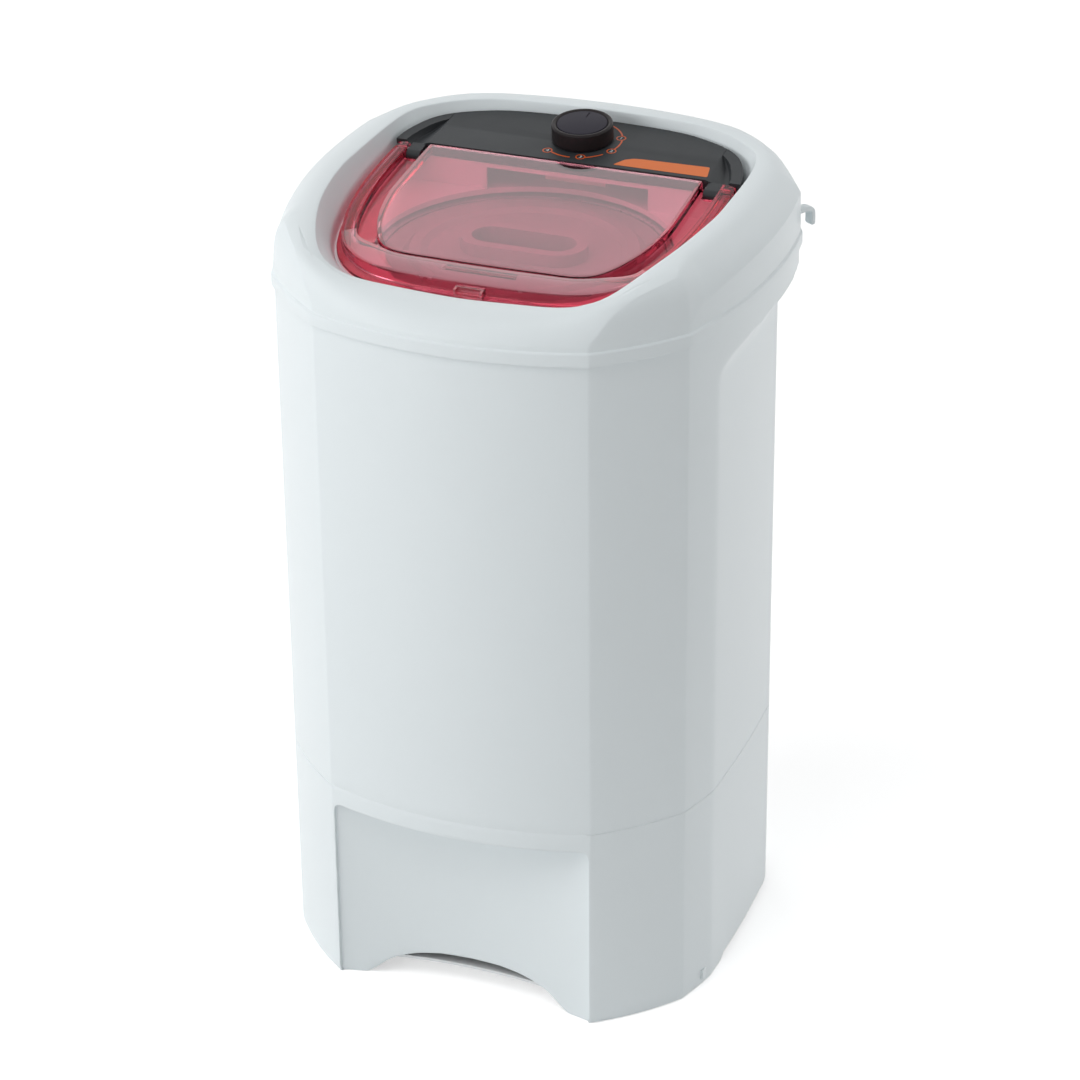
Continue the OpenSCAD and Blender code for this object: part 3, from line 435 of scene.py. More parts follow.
class Value:
    """A number from a node's socket, with arithmetic that adds Math nodes."""

    def __init__(self, tree: bpy.types.NodeTree, socket: bpy.types.NodeSocket) -> None:
        """Wraps one output socket of a node tree."""
        self.tree, self.socket = tree, socket

    def math(self, operation: str, first: "Value | float", second: "Value | float") -> "Value":
        """Adds a Math node of two operands and returns its result."""
        node = self.tree.nodes.new("ShaderNodeMath")
        node.operation = operation
        for slot, item in zip(node.inputs, (first, second)):
            if isinstance(item, Value):
                self.tree.links.new(item.socket, slot)
            else:
                slot.default_value = item
        return Value(self.tree, node.outputs[0])

    def __add__(self, other: "Value | float") -> "Value":
        """Returns self + other."""
        return self.math("ADD", self, other)

    def __radd__(self, other: float) -> "Value":
        """Returns other + self."""
        return self.math("ADD", other, self)

    def __sub__(self, other: "Value | float") -> "Value":
        """Returns self - other."""
        return self.math("SUBTRACT", self, other)

    def __rsub__(self, other: float) -> "Value":
        """Returns other - self."""
        return self.math("SUBTRACT", other, self)

    def __mul__(self, other: "Value | float") -> "Value":
        """Returns self times other."""
        return self.math("MULTIPLY", self, other)

    def __rmul__(self, other: float) -> "Value":
        """Returns other times self."""
        return self.math("MULTIPLY", other, self)


class Recipe:
    """A material under construction: its node tree and its main shader."""

    def __init__(self, name: str) -> None:
        """Starts an empty material with that name."""
        self.material = bpy.data.materials.new(name)
        self.material.use_nodes = True
        self.tree = self.material.node_tree
        self.tree.nodes.clear()
        self.output = self.node("ShaderNodeOutputMaterial")
        self.shader = self.node("ShaderNodeBsdfPrincipled")
        self.show(self.shader.outputs["BSDF"])

    def node(self, kind: str, settings: dict | None = None, sockets: dict | None = None) -> bpy.types.Node:
        """Adds any node.

        Args:
            kind: the node's type.
            settings: its properties, which are set first.
            sockets: values or links for its inputs, by name or number.

        Returns:
            The node.
        """
        made = self.tree.nodes.new(kind)
        for key, value in (settings or {}).items():
            setattr(made, key, value)
        for key, value in (sockets or {}).items():
            if isinstance(value, Value):
                self.tree.links.new(value.socket, made.inputs[key])
            else:
                made.inputs[key].default_value = value
        return made

    def out(self, node: bpy.types.Node, name: str | int = 0) -> Value:
        """Returns one output of a node."""
        return Value(self.tree, node.outputs[name])

    def show(self, socket: bpy.types.NodeSocket) -> None:
        """Makes a shader the surface of the material."""
        self.tree.links.new(socket, self.output.inputs["Surface"])

    def place(self, stretch: Triple = (1, 1, 1)) -> Value:
        """Returns the object's own coordinates, stretched."""
        coordinates = self.node("ShaderNodeTexCoord")
        mapping = self.node("ShaderNodeMapping", sockets={"Vector": self.out(coordinates, "Object"), "Scale": stretch})
        return self.out(mapping)

    def noise(self, scale: float, detail: float = 2.0, stretch: Triple = (1, 1, 1)) -> Value:
        """Returns a noise value from 0 to 1 with that many cells to the metre."""
        sockets = {"Vector": self.place(stretch), "Scale": scale, "Detail": detail}
        return self.out(self.node("ShaderNodeTexNoise", sockets=sockets), "Fac")

    def between(self, low: Colour, high: Colour, share: Value) -> Value:
        """Returns a colour between two colours."""
        made = self.node("ShaderNodeMix", {"data_type": "RGBA"}, {"Factor": share, "A": (*low, 1), "B": (*high, 1)})
        return self.out(made, "Result")

    def feed(self, **inputs: "Value | float | tuple") -> None:
        """Sets or links the main shader's inputs, with _ for a space in their names."""
        for key, value in inputs.items():
            socket = self.shader.inputs[key.replace("_", " ")]
            if isinstance(value, Value):
                self.tree.links.new(value.socket, socket)
            else:
                socket.default_value = (*value, 1) if isinstance(value, tuple) and len(value) == 3 else value

    def relief(self, height: Value, strength: float, depth: float) -> None:
        """Gives the main shader a bump from a height value, with its depth in metres."""
        bump = self.node("ShaderNodeBump", sockets={"Height": height, "Strength": strength, "Distance": depth})
        self.feed(Normal=self.out(bump))


def shade(colour: Colour, by: float) -> Colour:
    """Returns a colour made lighter or darker by a factor."""
    return tuple(clamp(c * by) for c in colour)


@dataclass(frozen=True)
class Moulded:
    """Moulded plastic or rubber with a fine skin grain, soft mottling and an uneven shine."""

    name: str
    colour: Colour
    roughness: float = 0.35
    mottle: float = 0.02
    grain: float = 1500.0
    relief: float = 0.1
    specular: float = 0.5

    def build(self) -> bpy.types.Material:
        """Makes the material."""
        recipe = Recipe(self.name)
        cloud = recipe.noise(9.0, 3.0)
        grain = recipe.noise(self.grain, 2.0)
        low, high = shade(self.colour, 1 - self.mottle), shade(self.colour, 1 + self.mottle)
        recipe.feed(Base_Color=recipe.between(low, high, cloud),
                    Roughness=self.roughness + 0.06 * (recipe.noise(60.0, 3.0) - 0.5) + 0.04 * (grain - 0.5),
                    Specular_IOR_Level=self.specular)
        recipe.relief(grain, self.relief, 0.0002)
        return recipe.material


@dataclass(frozen=True)
class Metal:
    """Metal with a drawn, cast or plated skin, from the way its grain is stretched."""

    name: str
    colour: Colour
    roughness: float = 0.35
    grain: float = 400.0
    stretch: Triple = (1, 1, 1)
    relief: float = 0.15
    tarnish: float = 0.12

    def build(self) -> bpy.types.Material:
        """Makes the material."""
        recipe = Recipe(self.name)
        grain = recipe.noise(self.grain, 4.0, self.stretch)
        cloud = recipe.noise(14.0, 4.0)
        recipe.feed(Base_Color=recipe.between(shade(self.colour, 1 - self.tarnish), shade(self.colour, 1.05), cloud),
                    Roughness=self.roughness + 0.16 * (grain - 0.5) + 0.1 * (cloud - 0.5), Metallic=1.0)
        recipe.relief(grain, self.relief, 0.0003)
        return recipe.material


@dataclass(frozen=True)
class ClearTint:
    """Clear tinted moulding that takes the rays of lamps through with its colour."""

    name: str
    colour: Colour
    roughness: float = 0.02
    index: float = 1.5
    skin: float = 1.0

    def build(self) -> bpy.types.Material:
        """Makes the material."""
        recipe = Recipe(self.name)
        smear = recipe.noise(30.0, 3.0)
        recipe.feed(Base_Color=recipe.between(shade(self.colour, 0.97), shade(self.colour, 1.03), smear),
                    Roughness=self.roughness + 0.01 * smear, IOR=self.index, Transmission_Weight=1.0,
                    Coat_Weight=self.skin)
        recipe.relief(recipe.noise(25.0, 1.0), 0.02, 0.0004)
        path = recipe.node("ShaderNodeLightPath")
        through = tuple(0.95 * math.sqrt(c) for c in self.colour)
        open_way = recipe.node("ShaderNodeBsdfTransparent", sockets={"Color": (*through, 1)})
        both = recipe.node("ShaderNodeMixShader", sockets={"Fac": recipe.out(path, "Is Shadow Ray")})
        recipe.tree.links.new(recipe.shader.outputs["BSDF"], both.inputs[1])
        recipe.tree.links.new(open_way.outputs["BSDF"], both.inputs[2])
        recipe.show(both.outputs["Shader"])
        return recipe.material


@dataclass(frozen=True)
class Wound:
    """Enamelled wire laid in turns, with painted shade in the grooves between them."""

    name: str
    colour: Colour
    turns: float = 700.0

    def build(self) -> bpy.types.Material:
        """Makes the material."""
        recipe = Recipe(self.name)
        sockets = {"Vector": recipe.place(), "Scale": self.turns, "Distortion": 1.5, "Detail": 1.0}
        wire = recipe.out(recipe.node("ShaderNodeTexWave", {"bands_direction": "Z"}, sockets), "Fac")
        # Darker between the turns: painted shade in the grooves between the round wires.
        recipe.feed(Base_Color=recipe.between(shade(self.colour, 0.35), self.colour, wire),
                    Roughness=0.28 + 0.2 * (1 - wire), Metallic=0.7)
        recipe.relief(wire, 0.6, 0.0005)
        return recipe.material


@dataclass(frozen=True)
class Ink:
    """Printed ink with a slightly uneven edge and sheen."""

    name: str
    colour: Colour

    def build(self) -> bpy.types.Material:
        """Makes the material."""
        recipe = Recipe(self.name)
        spots = recipe.noise(2200.0, 2.0)
        recipe.feed(Base_Color=recipe.between(shade(self.colour, 0.93), shade(self.colour, 1.04), spots),
                    Roughness=0.42 + 0.1 * (spots - 0.5))
        return recipe.material


Finish = Moulded | Metal | ClearTint | Wound | Ink

WHITE = Moulded("white_moulding", (0.80, 0.86, 0.88), roughness=0.34, mottle=0.008, grain=1800, relief=0.05)
TUB = Moulded("tub_moulding", (0.70, 0.75, 0.77), roughness=0.45, mottle=0.03, grain=700, relief=0.15)
CLEAR_RED = ClearTint("clear_red_moulding", (0.75, 0.32, 0.39))
# The lid's walls, side bars and undersides take this darker copy of the clear red moulding: painted shade that stands
# in for light passing through more plastic.
RED_WALL_SHADE = ClearTint("red_walls_painted_shade", (0.70, 0.15, 0.21), index=1.33, skin=0.0)
CHARCOAL = Moulded("charcoal_panel", (0.027, 0.030, 0.033), roughness=0.48, mottle=0.05, grain=2600, relief=0.12,
                   specular=0.3)
BLACK_GLOSS = Moulded("black_knob", (0.014, 0.011, 0.012), roughness=0.4, mottle=0.08, grain=1600, relief=0.12,
                      specular=0.22)
KNOB_FACE = Moulded("knob_face", (0.030, 0.028, 0.038), roughness=0.5, mottle=0.05, grain=2200, relief=0.1,
                    specular=0.12)
RUBBER = Moulded("black_rubber", (0.022, 0.022, 0.024), roughness=0.72, mottle=0.2, grain=900, relief=0.4, specular=0.3)
LINING = Moulded("brake_lining", (0.12, 0.075, 0.05), roughness=0.85, mottle=0.4, grain=500, relief=0.8, specular=0.2)
# The press disc's grey is painted shade: darker than the white mouldings round it, it stands in for the shade inside
# the tub's mouth under the closed lid.
PRESS_DISC_SHADE = Moulded("press_disc_painted_shade", (0.40, 0.43, 0.44), roughness=0.5, mottle=0.03, grain=900, relief=0.1)
CREAM = Moulded("cream_moulding", (0.72, 0.69, 0.60), roughness=0.5, mottle=0.04, grain=800, relief=0.2)
SWITCH = Moulded("switch_moulding", (0.045, 0.050, 0.055), roughness=0.5, mottle=0.1, grain=900, relief=0.25)
PAINTED = Moulded("pale_painted_sheet", (0.80, 0.82, 0.83), roughness=0.45, mottle=0.02, grain=1200, relief=0.1)
BASKET_STEEL = Metal("drawn_basket_sheet", (0.72, 0.74, 0.75), roughness=0.3, grain=500, stretch=(1, 1, 0.04))
CAST = Metal("cast_hub", (0.50, 0.52, 0.54), roughness=0.55, grain=350, relief=0.5, tarnish=0.25)
ZINC = Metal("zinc_plate", (0.58, 0.60, 0.61), roughness=0.36, grain=250, relief=0.12, tarnish=0.18)
CAN = Metal("aluminium_can", (0.72, 0.73, 0.74), roughness=0.32, grain=600, stretch=(1, 1, 0.1), relief=0.1)
COPPER = Wound("enamelled_wire", (0.60, 0.24, 0.09))
ORANGE = Ink("orange_ink", (0.70, 0.155, 0.022))
RING_ORANGE = Ink("ring_ink", (0.62, 0.10, 0.02))
PALE_INK = Ink("pale_ink", (0.62, 0.66, 0.68))

SLOT_FINISH: dict[str, Finish] = {
    "white_plastic": WHITE, "tub_plastic": TUB, "clear_red": CLEAR_RED, "charcoal_plastic": CHARCOAL,
    "black_gloss": BLACK_GLOSS, "dark_grey": KNOB_FACE, "basket_steel": BASKET_STEEL, "cast_hub": CAST,
    "steel": ZINC, "rubber": RUBBER, "lining": LINING, "copper": COPPER, "can": CAN, "cream_plastic": CREAM,
    "switch_plastic": SWITCH,
}

# The press disc takes the painted-shade grey.
NODE_FINISH: dict[str, Finish] = {"press_disc": PRESS_DISC_SHADE, "base_plate": PAINTED}


class Paintshop:
    """Builds each finish once and puts it on pieces."""

    def __init__(self) -> None:
        """Starts with nothing built."""
        self.built: dict[str, bpy.types.Material] = {}

    def material(self, finish: Finish) -> bpy.types.Material:
        """Returns a finish's material, made on first use."""
        if finish.name not in self.built:
            self.built[finish.name] = finish.build()
        return self.built[finish.name]

    def dress(self, piece: bpy.types.Object, finish: Finish) -> None:
        """Puts one finish on the whole of a piece."""
        piece.data.materials.clear()
        piece.data.materials.append(self.material(finish))

    def dress_node(self, name: str, finish: Finish) -> None:
        """Puts one finish on a CAD node."""
        node = frame["nodes"][name]
        made = self.material(finish)
        if not node.data.materials:
            node.data.materials.append(made)
        for place in node.material_slots:
            place.material = made


SHOP = Paintshop()


def mount(piece: bpy.types.Object, body: Body, finish: Finish,
          replaces: Sequence[str] = ()) -> None:
    """Dresses a piece and fixes it to the frame.

    Args:
        piece: the finished piece.
        body: what it moves with.
        finish: what it is made of.
        replaces: the CAD nodes it stands for.
    """
    SHOP.dress(piece, finish)
    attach(piece, body.value)
    if replaces:
        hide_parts(*replaces)
    LOG.info("%s: %d faces on %s", piece.name, len(piece.data.polygons), body.value)


# ---------------------------------------------------------------- cabinet


@dataclass(frozen=True)
class Cabinet:
    """Upright shell with hand recesses, a bucket recess, an arch and a seam groove."""

    top: float = 664.0
    wall: float = 3.3
    step: float = 2.7
    front_to: float = 60.0
    recess_from: float = 50.0
    recess_round: float = 0.9
    recess_bow: float = 2.2
    bow_middle: float = 88.0
    bow_rate: float = 4.2
    recess_top: float = 612.0
    recess_faces: tuple[Pair, ...] = ((0, 203.0), (21, 218.0), (42, 217.0))
    face_round: float = 2.5
    ramp: Pair = (-7.4, 190.9)
    ramp_round: float = 0.6
    scoop: float = 30.0
    bucket_half_w: float = 122.6
    bucket_top: float = 184.0
    bucket_edge_y: float = -191.0
    bucket_wall_y: float = -175.0
    bucket_corner: float = 7.0
    bucket_wall: float = 3.0
    bucket_edge: tuple[Pair, ...] = ((-1.1, 1.0), (-0.4, 0.93), (-0.15, 0.75), (0.0, 0.4), (0.2, 0.14), (0.6, 0.03),
                                     (1.1, 0.0))
    foot_round: float = 8.0
    foot_inset: float = 2.4
    foot_wall: float = 1.0
    foot_inner: Pair = (4.0, 3.0)
    foot_steps: int = 6
    foot_share: float = 0.35
    foot_low: float = 0.5
    foot_high: float = 5.0
    foot_rise: Pair = (-60.0, -50.0)
    arch: tuple[Pair, ...] = ((0, 31), (30, 30.2), (50, 27.2), (62, 24), (72, 20), (80, 15.5), (87, 10), (92, 5.6),
                              (97, 2.2), (100, 0.5))
    recess_heights: tuple[float, ...] = (52, 70, 90, 115, 140, 160)
    lip_rows: tuple[Pair, ...] = ((9, 1), (5, 1), (3, 0.985), (1.6, 0.95), (0.7, 0.88), (0.15, 0.75), (0, 0.55),
                                  (0, 0.3), (-0.05, 0.12), (-0.5, 0.045), (-1.5, 0.012), (-2.8, 0))
    seam_rows: tuple[Pair, ...] = ((190, 0), (197, 0), (202.2, 0), (202.55, 0.5), (203.45, 0.5), (203.8, 0), (212, 0))
    wall_heights: tuple[float, ...] = (260, 330, 400, 470, 540, 585, 603, 609, 613, 617, 621, 625, 629, 632, 635, 637.5,
                                       639.5, 641, 642.5, 646, 654)
    inner_rows: tuple[Pair, ...] = ((645, 0), (608, 0), (400, 0), (230, 0), (189, 0), (187.5, 1), (120, 1), (52, 1))
    drain_port: Triple = (90, 205, 120)
    drain_radius: float = 20.0
    cord_hole: Triple = (-90, 205, 60)
    cord_radius: float = 9.0
    cord_turn: float = -11.47
    port_reach: float = 20.0
    ledge_x: float = 194.0
    ledge_ys: Pair = (-90.0, 60.0)
    ledge_half: Pair = (6.9, 12.0)
    ledge_heights: Pair = (8.0, 18.0)

    def bearings(self) -> list[float]:
        """Returns the stations round the plan, close together at its edges and recesses."""
        face = PLAN.arcs()[0]
        radius, centre = face.radius() - self.step, face.centre()[1]
        near_edge = (-8, -6, -4.5, -3, -2, -1.2, -0.7, -0.4, -0.15, 0, 0.2, 0.6, 1.1)
        across = [*range(0, 96, 6), 92, 94, 97, 99, 102, 106, 110, 113, *(self.bucket_half_w + k for k in near_edge)]
        half = {math.degrees(math.atan2(x, math.sqrt(radius * radius - x * x) - centre)) for x in across}
        for corner in PLAN.corner_bearings():
            half |= {corner + 0.1 + k for k in (-1.3, -0.6, -0.36, -0.2, -0.06, 0.06, 0.2, 0.36, 0.6, 1.3)}
        for start, pitch, count in ((34.6, 1.2, 18), (58.0, 1.0, 59), (119.6, 1.5, 16), (146.4, 2.2, 15)):
            half |= {start + pitch * k for k in range(count)}
        right = sorted(half | {180.0})
        return right + [-b for b in reversed(right[1:-1])]

    def recess_radius(self, bearing: float, z: float) -> float:
        """Returns how far the hand recess lets the wall reach at a bearing and height."""
        a = abs(bearing)
        up = clamp(z - self.recess_top, 0.0, self.scoop - 0.3)
        out = self.scoop - math.sqrt(self.scoop ** 2 - up ** 2)
        bulge = self.recess_bow * math.cos(math.radians(clamp((a - self.bow_middle) * self.bow_rate, -90, 90)))
        found = FAR
        for turn, distance in self.recess_faces:
            off = math.cos(math.radians(a - 90 - turn))
            if off > 0.3:
                bow = bulge if turn == 0 else 0.0
                found = soft_min(found, (distance + bow + out) / off, self.face_round)
        turn, distance = self.ramp
        ramp = (distance + out) / math.cos(math.radians(a - 90 - turn)) if a < 90 else 0.0
        return soft_max(found, ramp, self.ramp_round)

    def foot(self, bearing: float, x: float, y: float) -> float:
        """Returns the height of the cabinet's lower edge at a station."""
        low = blend(self.foot_low, self.foot_high, ease(y, *self.foot_rise))
        return max(low, lookup(self.arch, abs(x))) if abs(bearing) < self.front_to else low

    def bucket_share(self, x: float, inner: bool) -> float:
        """Returns how much of the bucket recess's depth the wall has at a distance from the middle."""
        return lookup(self.bucket_edge, abs(x) - self.bucket_half_w - (self.bucket_wall if inner else 0.0))

    def bucket_depth(self, x: float, y: float) -> float:
        """Returns how deep the bucket recess is behind the front face."""
        sag = self.bucket_wall_y - self.bucket_edge_y
        radius = (self.bucket_half_w ** 2 + sag * sag) / (2 * sag)
        wall = self.bucket_wall_y - radius + math.sqrt(max(radius * radius - x * x, 0))
        return wall - y

    def lip(self, x: float) -> float:
        """Returns the height of the bucket recess's upper edge, rounded down at its corners."""
        past = clamp((abs(x) - self.bucket_half_w + self.bucket_corner) / (self.bucket_corner + 0.05))
        return self.bucket_top - self.bucket_corner * (1 - math.sqrt(1 - past ** 2))

    def point(self, bearing: float, z: float, share: float = 0.0, inset: float = 0.0, inner: bool = False) -> Vector:
        """Finds a point of the wall.

        Args:
            bearing: the station.
            z: the height.
            share: how much of the bucket recess's depth applies.
            inset: how far the point lies inside the wall's face.
            inner: whether the point is on the inside of the wall.

        Returns:
            The point.
        """
        radius = PLAN.radius(bearing, self.step)
        if abs(bearing) > self.recess_from:
            radius = soft_min(radius, self.recess_radius(bearing, z), self.recess_round)
        x, y = polar(bearing, radius)
        if abs(bearing) < self.front_to and share:
            y += self.bucket_depth(x, y) * share * self.bucket_share(x, inner)
        length = math.hypot(x, y)
        scale = (length - inset - (self.wall if inner else 0.0)) / length
        return Vector((x * scale, y * scale, z))

    def rings(self) -> list[list[Vector]]:
        """Returns the sections from the foot up the outside and back down the inside."""
        base = []
        for b in self.bearings():
            x, y = polar(b, PLAN.radius(b, self.step))
            in_recess = abs(x) < self.bucket_half_w - 1 and abs(b) < self.front_to
            base.append((b, self.foot_share if in_recess else 1.0, self.foot(b, x, y), self.lip(x)))

        def row(height: Callable[[float, float], float], share: float, inset: float = 0.0,
                inner: bool = False) -> list[Vector]:
            """Returns one section, whose height comes from each station's foot and lip."""
            return [self.point(b, height(foot, lip), share, inset * part, inner) for b, part, foot, lip in base]

        rings = []
        for k in range(self.foot_steps + 1):
            turn = math.pi / 2 * k / self.foot_steps
            up = self.foot_round * (1 - math.cos(turn))
            rings.append(row(lambda foot, lip, up=up: foot + up, 1.0, self.foot_inset * (1 - math.sin(turn))))
        rings += [row(lambda foot, lip, z=z: z, 1.0) for z in self.recess_heights]
        rings += [row(lambda foot, lip, down=down: lip - 1.01 * down, share) for down, share in self.lip_rows]
        rings += [row(lambda foot, lip, z=z: z, 0.0, inset) for z, inset in self.seam_rows]
        rings += [row(lambda foot, lip, z=z: z, 0.0) for z in (*self.wall_heights, self.top)]
        inner_rows = ((self.top, 0), *self.inner_rows)
        rings += [row(lambda foot, lip, z=z: z, share, 0.0, True) for z, share in inner_rows]
        rise, inset = self.foot_inner
        rings.append(row(lambda foot, lip: foot + rise, 1.0, inset, True))
        rings.append(row(lambda foot, lip: foot, 1.0, self.foot_inset + self.foot_wall, True))
        rings.append(rings[0])
        return rings

    def cut_ports(self, bm: bmesh.types.BMesh) -> None:
        """Adds the drain port and the cord hole of the rear wall."""
        level = Matrix.Rotation(math.pi / 2, 4, "X")
        drum(bm, self.drain_radius, -self.port_reach, self.port_reach, Matrix.Translation(self.drain_port) @ level)
        turn = Matrix.Rotation(math.radians(self.cord_turn), 4, "Z")
        drum(bm, self.cord_radius, -self.port_reach, self.port_reach, Matrix.Translation(self.cord_hole) @ turn @ level)

    def build(self) -> None:
        """Makes the cabinet and its inside ledges."""
        bm = bmesh.new()
        sweep(bm, self.rings())
        piece = mesh_object("cabinet_shell", bm)
        carve(piece, self.cut_ports, 34)
        bm = bmesh.new()
        half_w, half_d = self.ledge_half
        low, high = self.ledge_heights
        for x in (-self.ledge_x, self.ledge_x):
            for y in self.ledge_ys:
                block(bm, (x - half_w, y - half_d, low), (x + half_w, y + half_d, high))
        ledges = mesh_object("base_ledges", bm)
        round_edges(ledges, 0.8)
        mount(piece, Body.MACHINE, WHITE, ["cabinet"])
        mount(ledges, Body.MACHINE, WHITE)


# ---------------------------------------------------------------- top cover

CREST_LOOP = Loop(RIM_SHAPE, 174, 174, 174)
OPENING_LOOP = Loop(OPENING_SHAPE, 167, 156, 172)


@dataclass(frozen=True)
class TopCover:
    """Raised rim with a flange, a crease that climbs along each side, and a ledge for the lid."""

    cabinet_top: float = 664.0
    flange_low: float = 660.0
    ridge: float = 672.0
    step: float = 2.7
    wall: float = 3.0
    ledge_w: float = 8.0
    ledge_drop: float = 15.0
    floor: float = 679.0
    crest_half_top: float = 10.0
    crest_rise: float = 3.0
    ridge_round: float = 1.8
    crease_inset: float = 2.6
    flange_wall: float = 7.0
    rear_drop: float = 4.0
    crest: tuple[Pair, ...] = ((0, 29), (28, 32.5), (33, 36), (39, 44), (43, 50), (49, 55), (59, 60), (75, 63),
                               (108, 64), (123, 66), (135, 70), (147, 73), (180, 74))
    crease: tuple[Pair, ...] = ((0, 12), (33, 13.5), (55, 14), (57, 20), (58.7, 26), (60.3, 30), (69.7, 36), (88, 40),
                                (118, 44), (145, 48), (180, 50))
    shear: tuple[Pair, ...] = ((0, 0), (12, 0.25), (31.5, 1.0), (33.9, 1.0), (56.3, 0.12), (70, 0), (180, 0))
    facet_power: float = 3.0
    facet_end: Pair = (54.0, 64.0)
    face_end: float = 80.0
    most_drift: float = 13.0
    bend_shares: tuple[float, ...] = (0.12, 0.28, 0.45, 0.62, 0.8)
    edge_round: float = 0.5
    slope_lift: float = 0.4
    switch_well: Triple = (164.4, 25, 0)
    well_radius: float = 1.8
    well_heights: Pair = (670.0, 731.0)
    pocket_slack: float = 0.05
    slope_start: float = 27.0
    slope_steps: int = 11

    def stations(self) -> list[float]:
        """Returns the bearings round the plan, close together at its edges."""
        half = {float(k) for k in range(0, 181, 2)} | {53.0 + 0.5 * k for k in range(18)}
        for corner in PLAN.corner_bearings():
            half = {b for b in half if abs(b - corner) > 0.9}
            half |= {corner + k for k in (-1.1, -0.55, -0.33, -0.16, 0.0, 0.16, 0.33, 0.55, 1.1)}
        right = sorted(half)
        return right + [-b for b in reversed(right[1:-1])]

    def swell(self, share: float, upright: float = 0.0) -> float:
        """Returns how much of the rim's outer width is left at a share of its height.

        Args:
            share: the share of the height from the crease to the crest.
            upright: how much of the squarer shape applies that the front corner facets have.

        Returns:
            1 at the crease and 0 at the crest.
        """
        start = math.radians(self.slope_start)
        along = math.sin(start) + share * (1 - math.sin(start))
        round_part = math.sqrt(max(1 - along ** 2, 0)) / math.cos(start)
        square_part = max(1 - share ** self.facet_power, 0) ** (1 / self.facet_power)
        return blend(round_part, square_part, upright)

    def slope_radius(self, bearing: float, share: float) -> Pair:
        """Returns the radii of the front face and of the other faces at a share of the height."""
        crest = CREST_LOOP.radius(bearing) + self.crest_half_top
        face = PLAN.arcs()[0].reach(bearing, self.crease_inset) if bearing < self.face_end else FAR
        others = PLAN.radius(bearing, self.crease_inset, 1)
        upright = 1 - ease(bearing, *self.facet_end)
        return blend(crest, face, self.swell(share)), blend(crest, others, self.swell(share, upright))

    def shares(self) -> list[float]:
        """Returns the shares of the height where the slope has points, closest together at the crest."""
        return [math.sin(math.pi / 2 * k / self.slope_steps) for k in range(self.slope_steps + 1)]

    def drift(self, share: float) -> float:
        """Returns how far the front corner's edge has moved round to the side at a share of the height, in degrees."""
        corner = PLAN.corner_bearings()[0]
        low, high = corner - 1, corner + self.most_drift
        for _ in range(18):
            middle = (low + high) / 2
            front, facet = self.slope_radius(middle, share)
            low, high = (middle, high) if front < facet else (low, middle)
        return (low + high) / 2 - corner

    def slope_foot(self, bearing: float) -> float:
        """Returns the height at which the slope starts: the crease's, or just over the flange's ridge."""
        return max(self.crease_height(bearing), self.ridge + self.ridge_round)

    def flange_rows(self, bearing: float) -> list[Pair]:
        """Returns the radii and heights from the flange's foot over its ridge and up to the slope."""
        ro, low, ridge = PLAN.radius(bearing), self.flange_low, self.ridge
        top = self.slope_foot(bearing)
        rows = [(ro - 0.6, low), (ro - 0.1, low + 0.5), (ro, low + 1.4), (ro, low + 6), (ro, ridge - 1.9),
                (ro - 0.18, ridge - 0.9), (ro - 0.7, ridge), (ro - 1.4, ridge + 0.55), (ro - 1.9, ridge + 1.1)]
        return rows + [(ro - 2 - 0.5 * k, blend(ridge + self.ridge_round, top, k)) for k in (0.02, 0.33, 0.66, 0.93)]

    def opening_rows(self, bearing: float) -> list[Pair]:
        """Returns the radii and heights from the crest down to the opening's ledge and back up underneath."""
        rc, rp, ro = CREST_LOOP.radius(bearing), OPENING_LOOP.radius(bearing), PLAN.radius(bearing)
        rt, rl = rc + self.crest_half_top, rp - self.ledge_w
        zc, zr = self.crease_height(bearing), self.crest_height(bearing)
        zt = zr + self.crest_rise
        back = -math.cos(math.radians(bearing))
        zl, zi = SLOPE.rise(back * rp) - self.ledge_drop, SLOPE.rise(back * rl) - self.ledge_drop
        under, wall = self.floor + 0.3, self.wall
        rows = [(rt - 2, zt), (rc + 4, zt - 0.25), (rc + 1.4, zt - 0.5), (rc + 0.6, zt - 0.8), (rc + 0.15, zt - 1.35),
                (rc - 0.2, zt - 2.3)]
        start, pull, end = rows[-1], (blend(rp, rc, 0.3), blend(zl, zr, 0.33)), (rp, zl + 2)
        for t in self.bend_shares:
            rows.append(tuple((1 - t) ** 2 * start[n] + 2 * t * (1 - t) * pull[n] + t * t * end[n] for n in (0, 1)))
        rows += [end, (rp - 0.3, zl + 0.7), (rp - 1.0, zl + 0.05), (rp - 3, zl), (rl + 1, zi), (rl + 0.2, zi - 0.3),
                 (rl, zi - 1.2), (rl, self.floor), (rl + wall, self.floor), (rl + wall, max(zi - 3, under)),
                 (rp + wall, max(zl - 3, under)), (rc + 4, zr - 4), (rt, zt - 4),
                 (blend(rt, ro - self.flange_wall, 0.75), blend(zc, zt, 0.4) - 3)]
        return rows

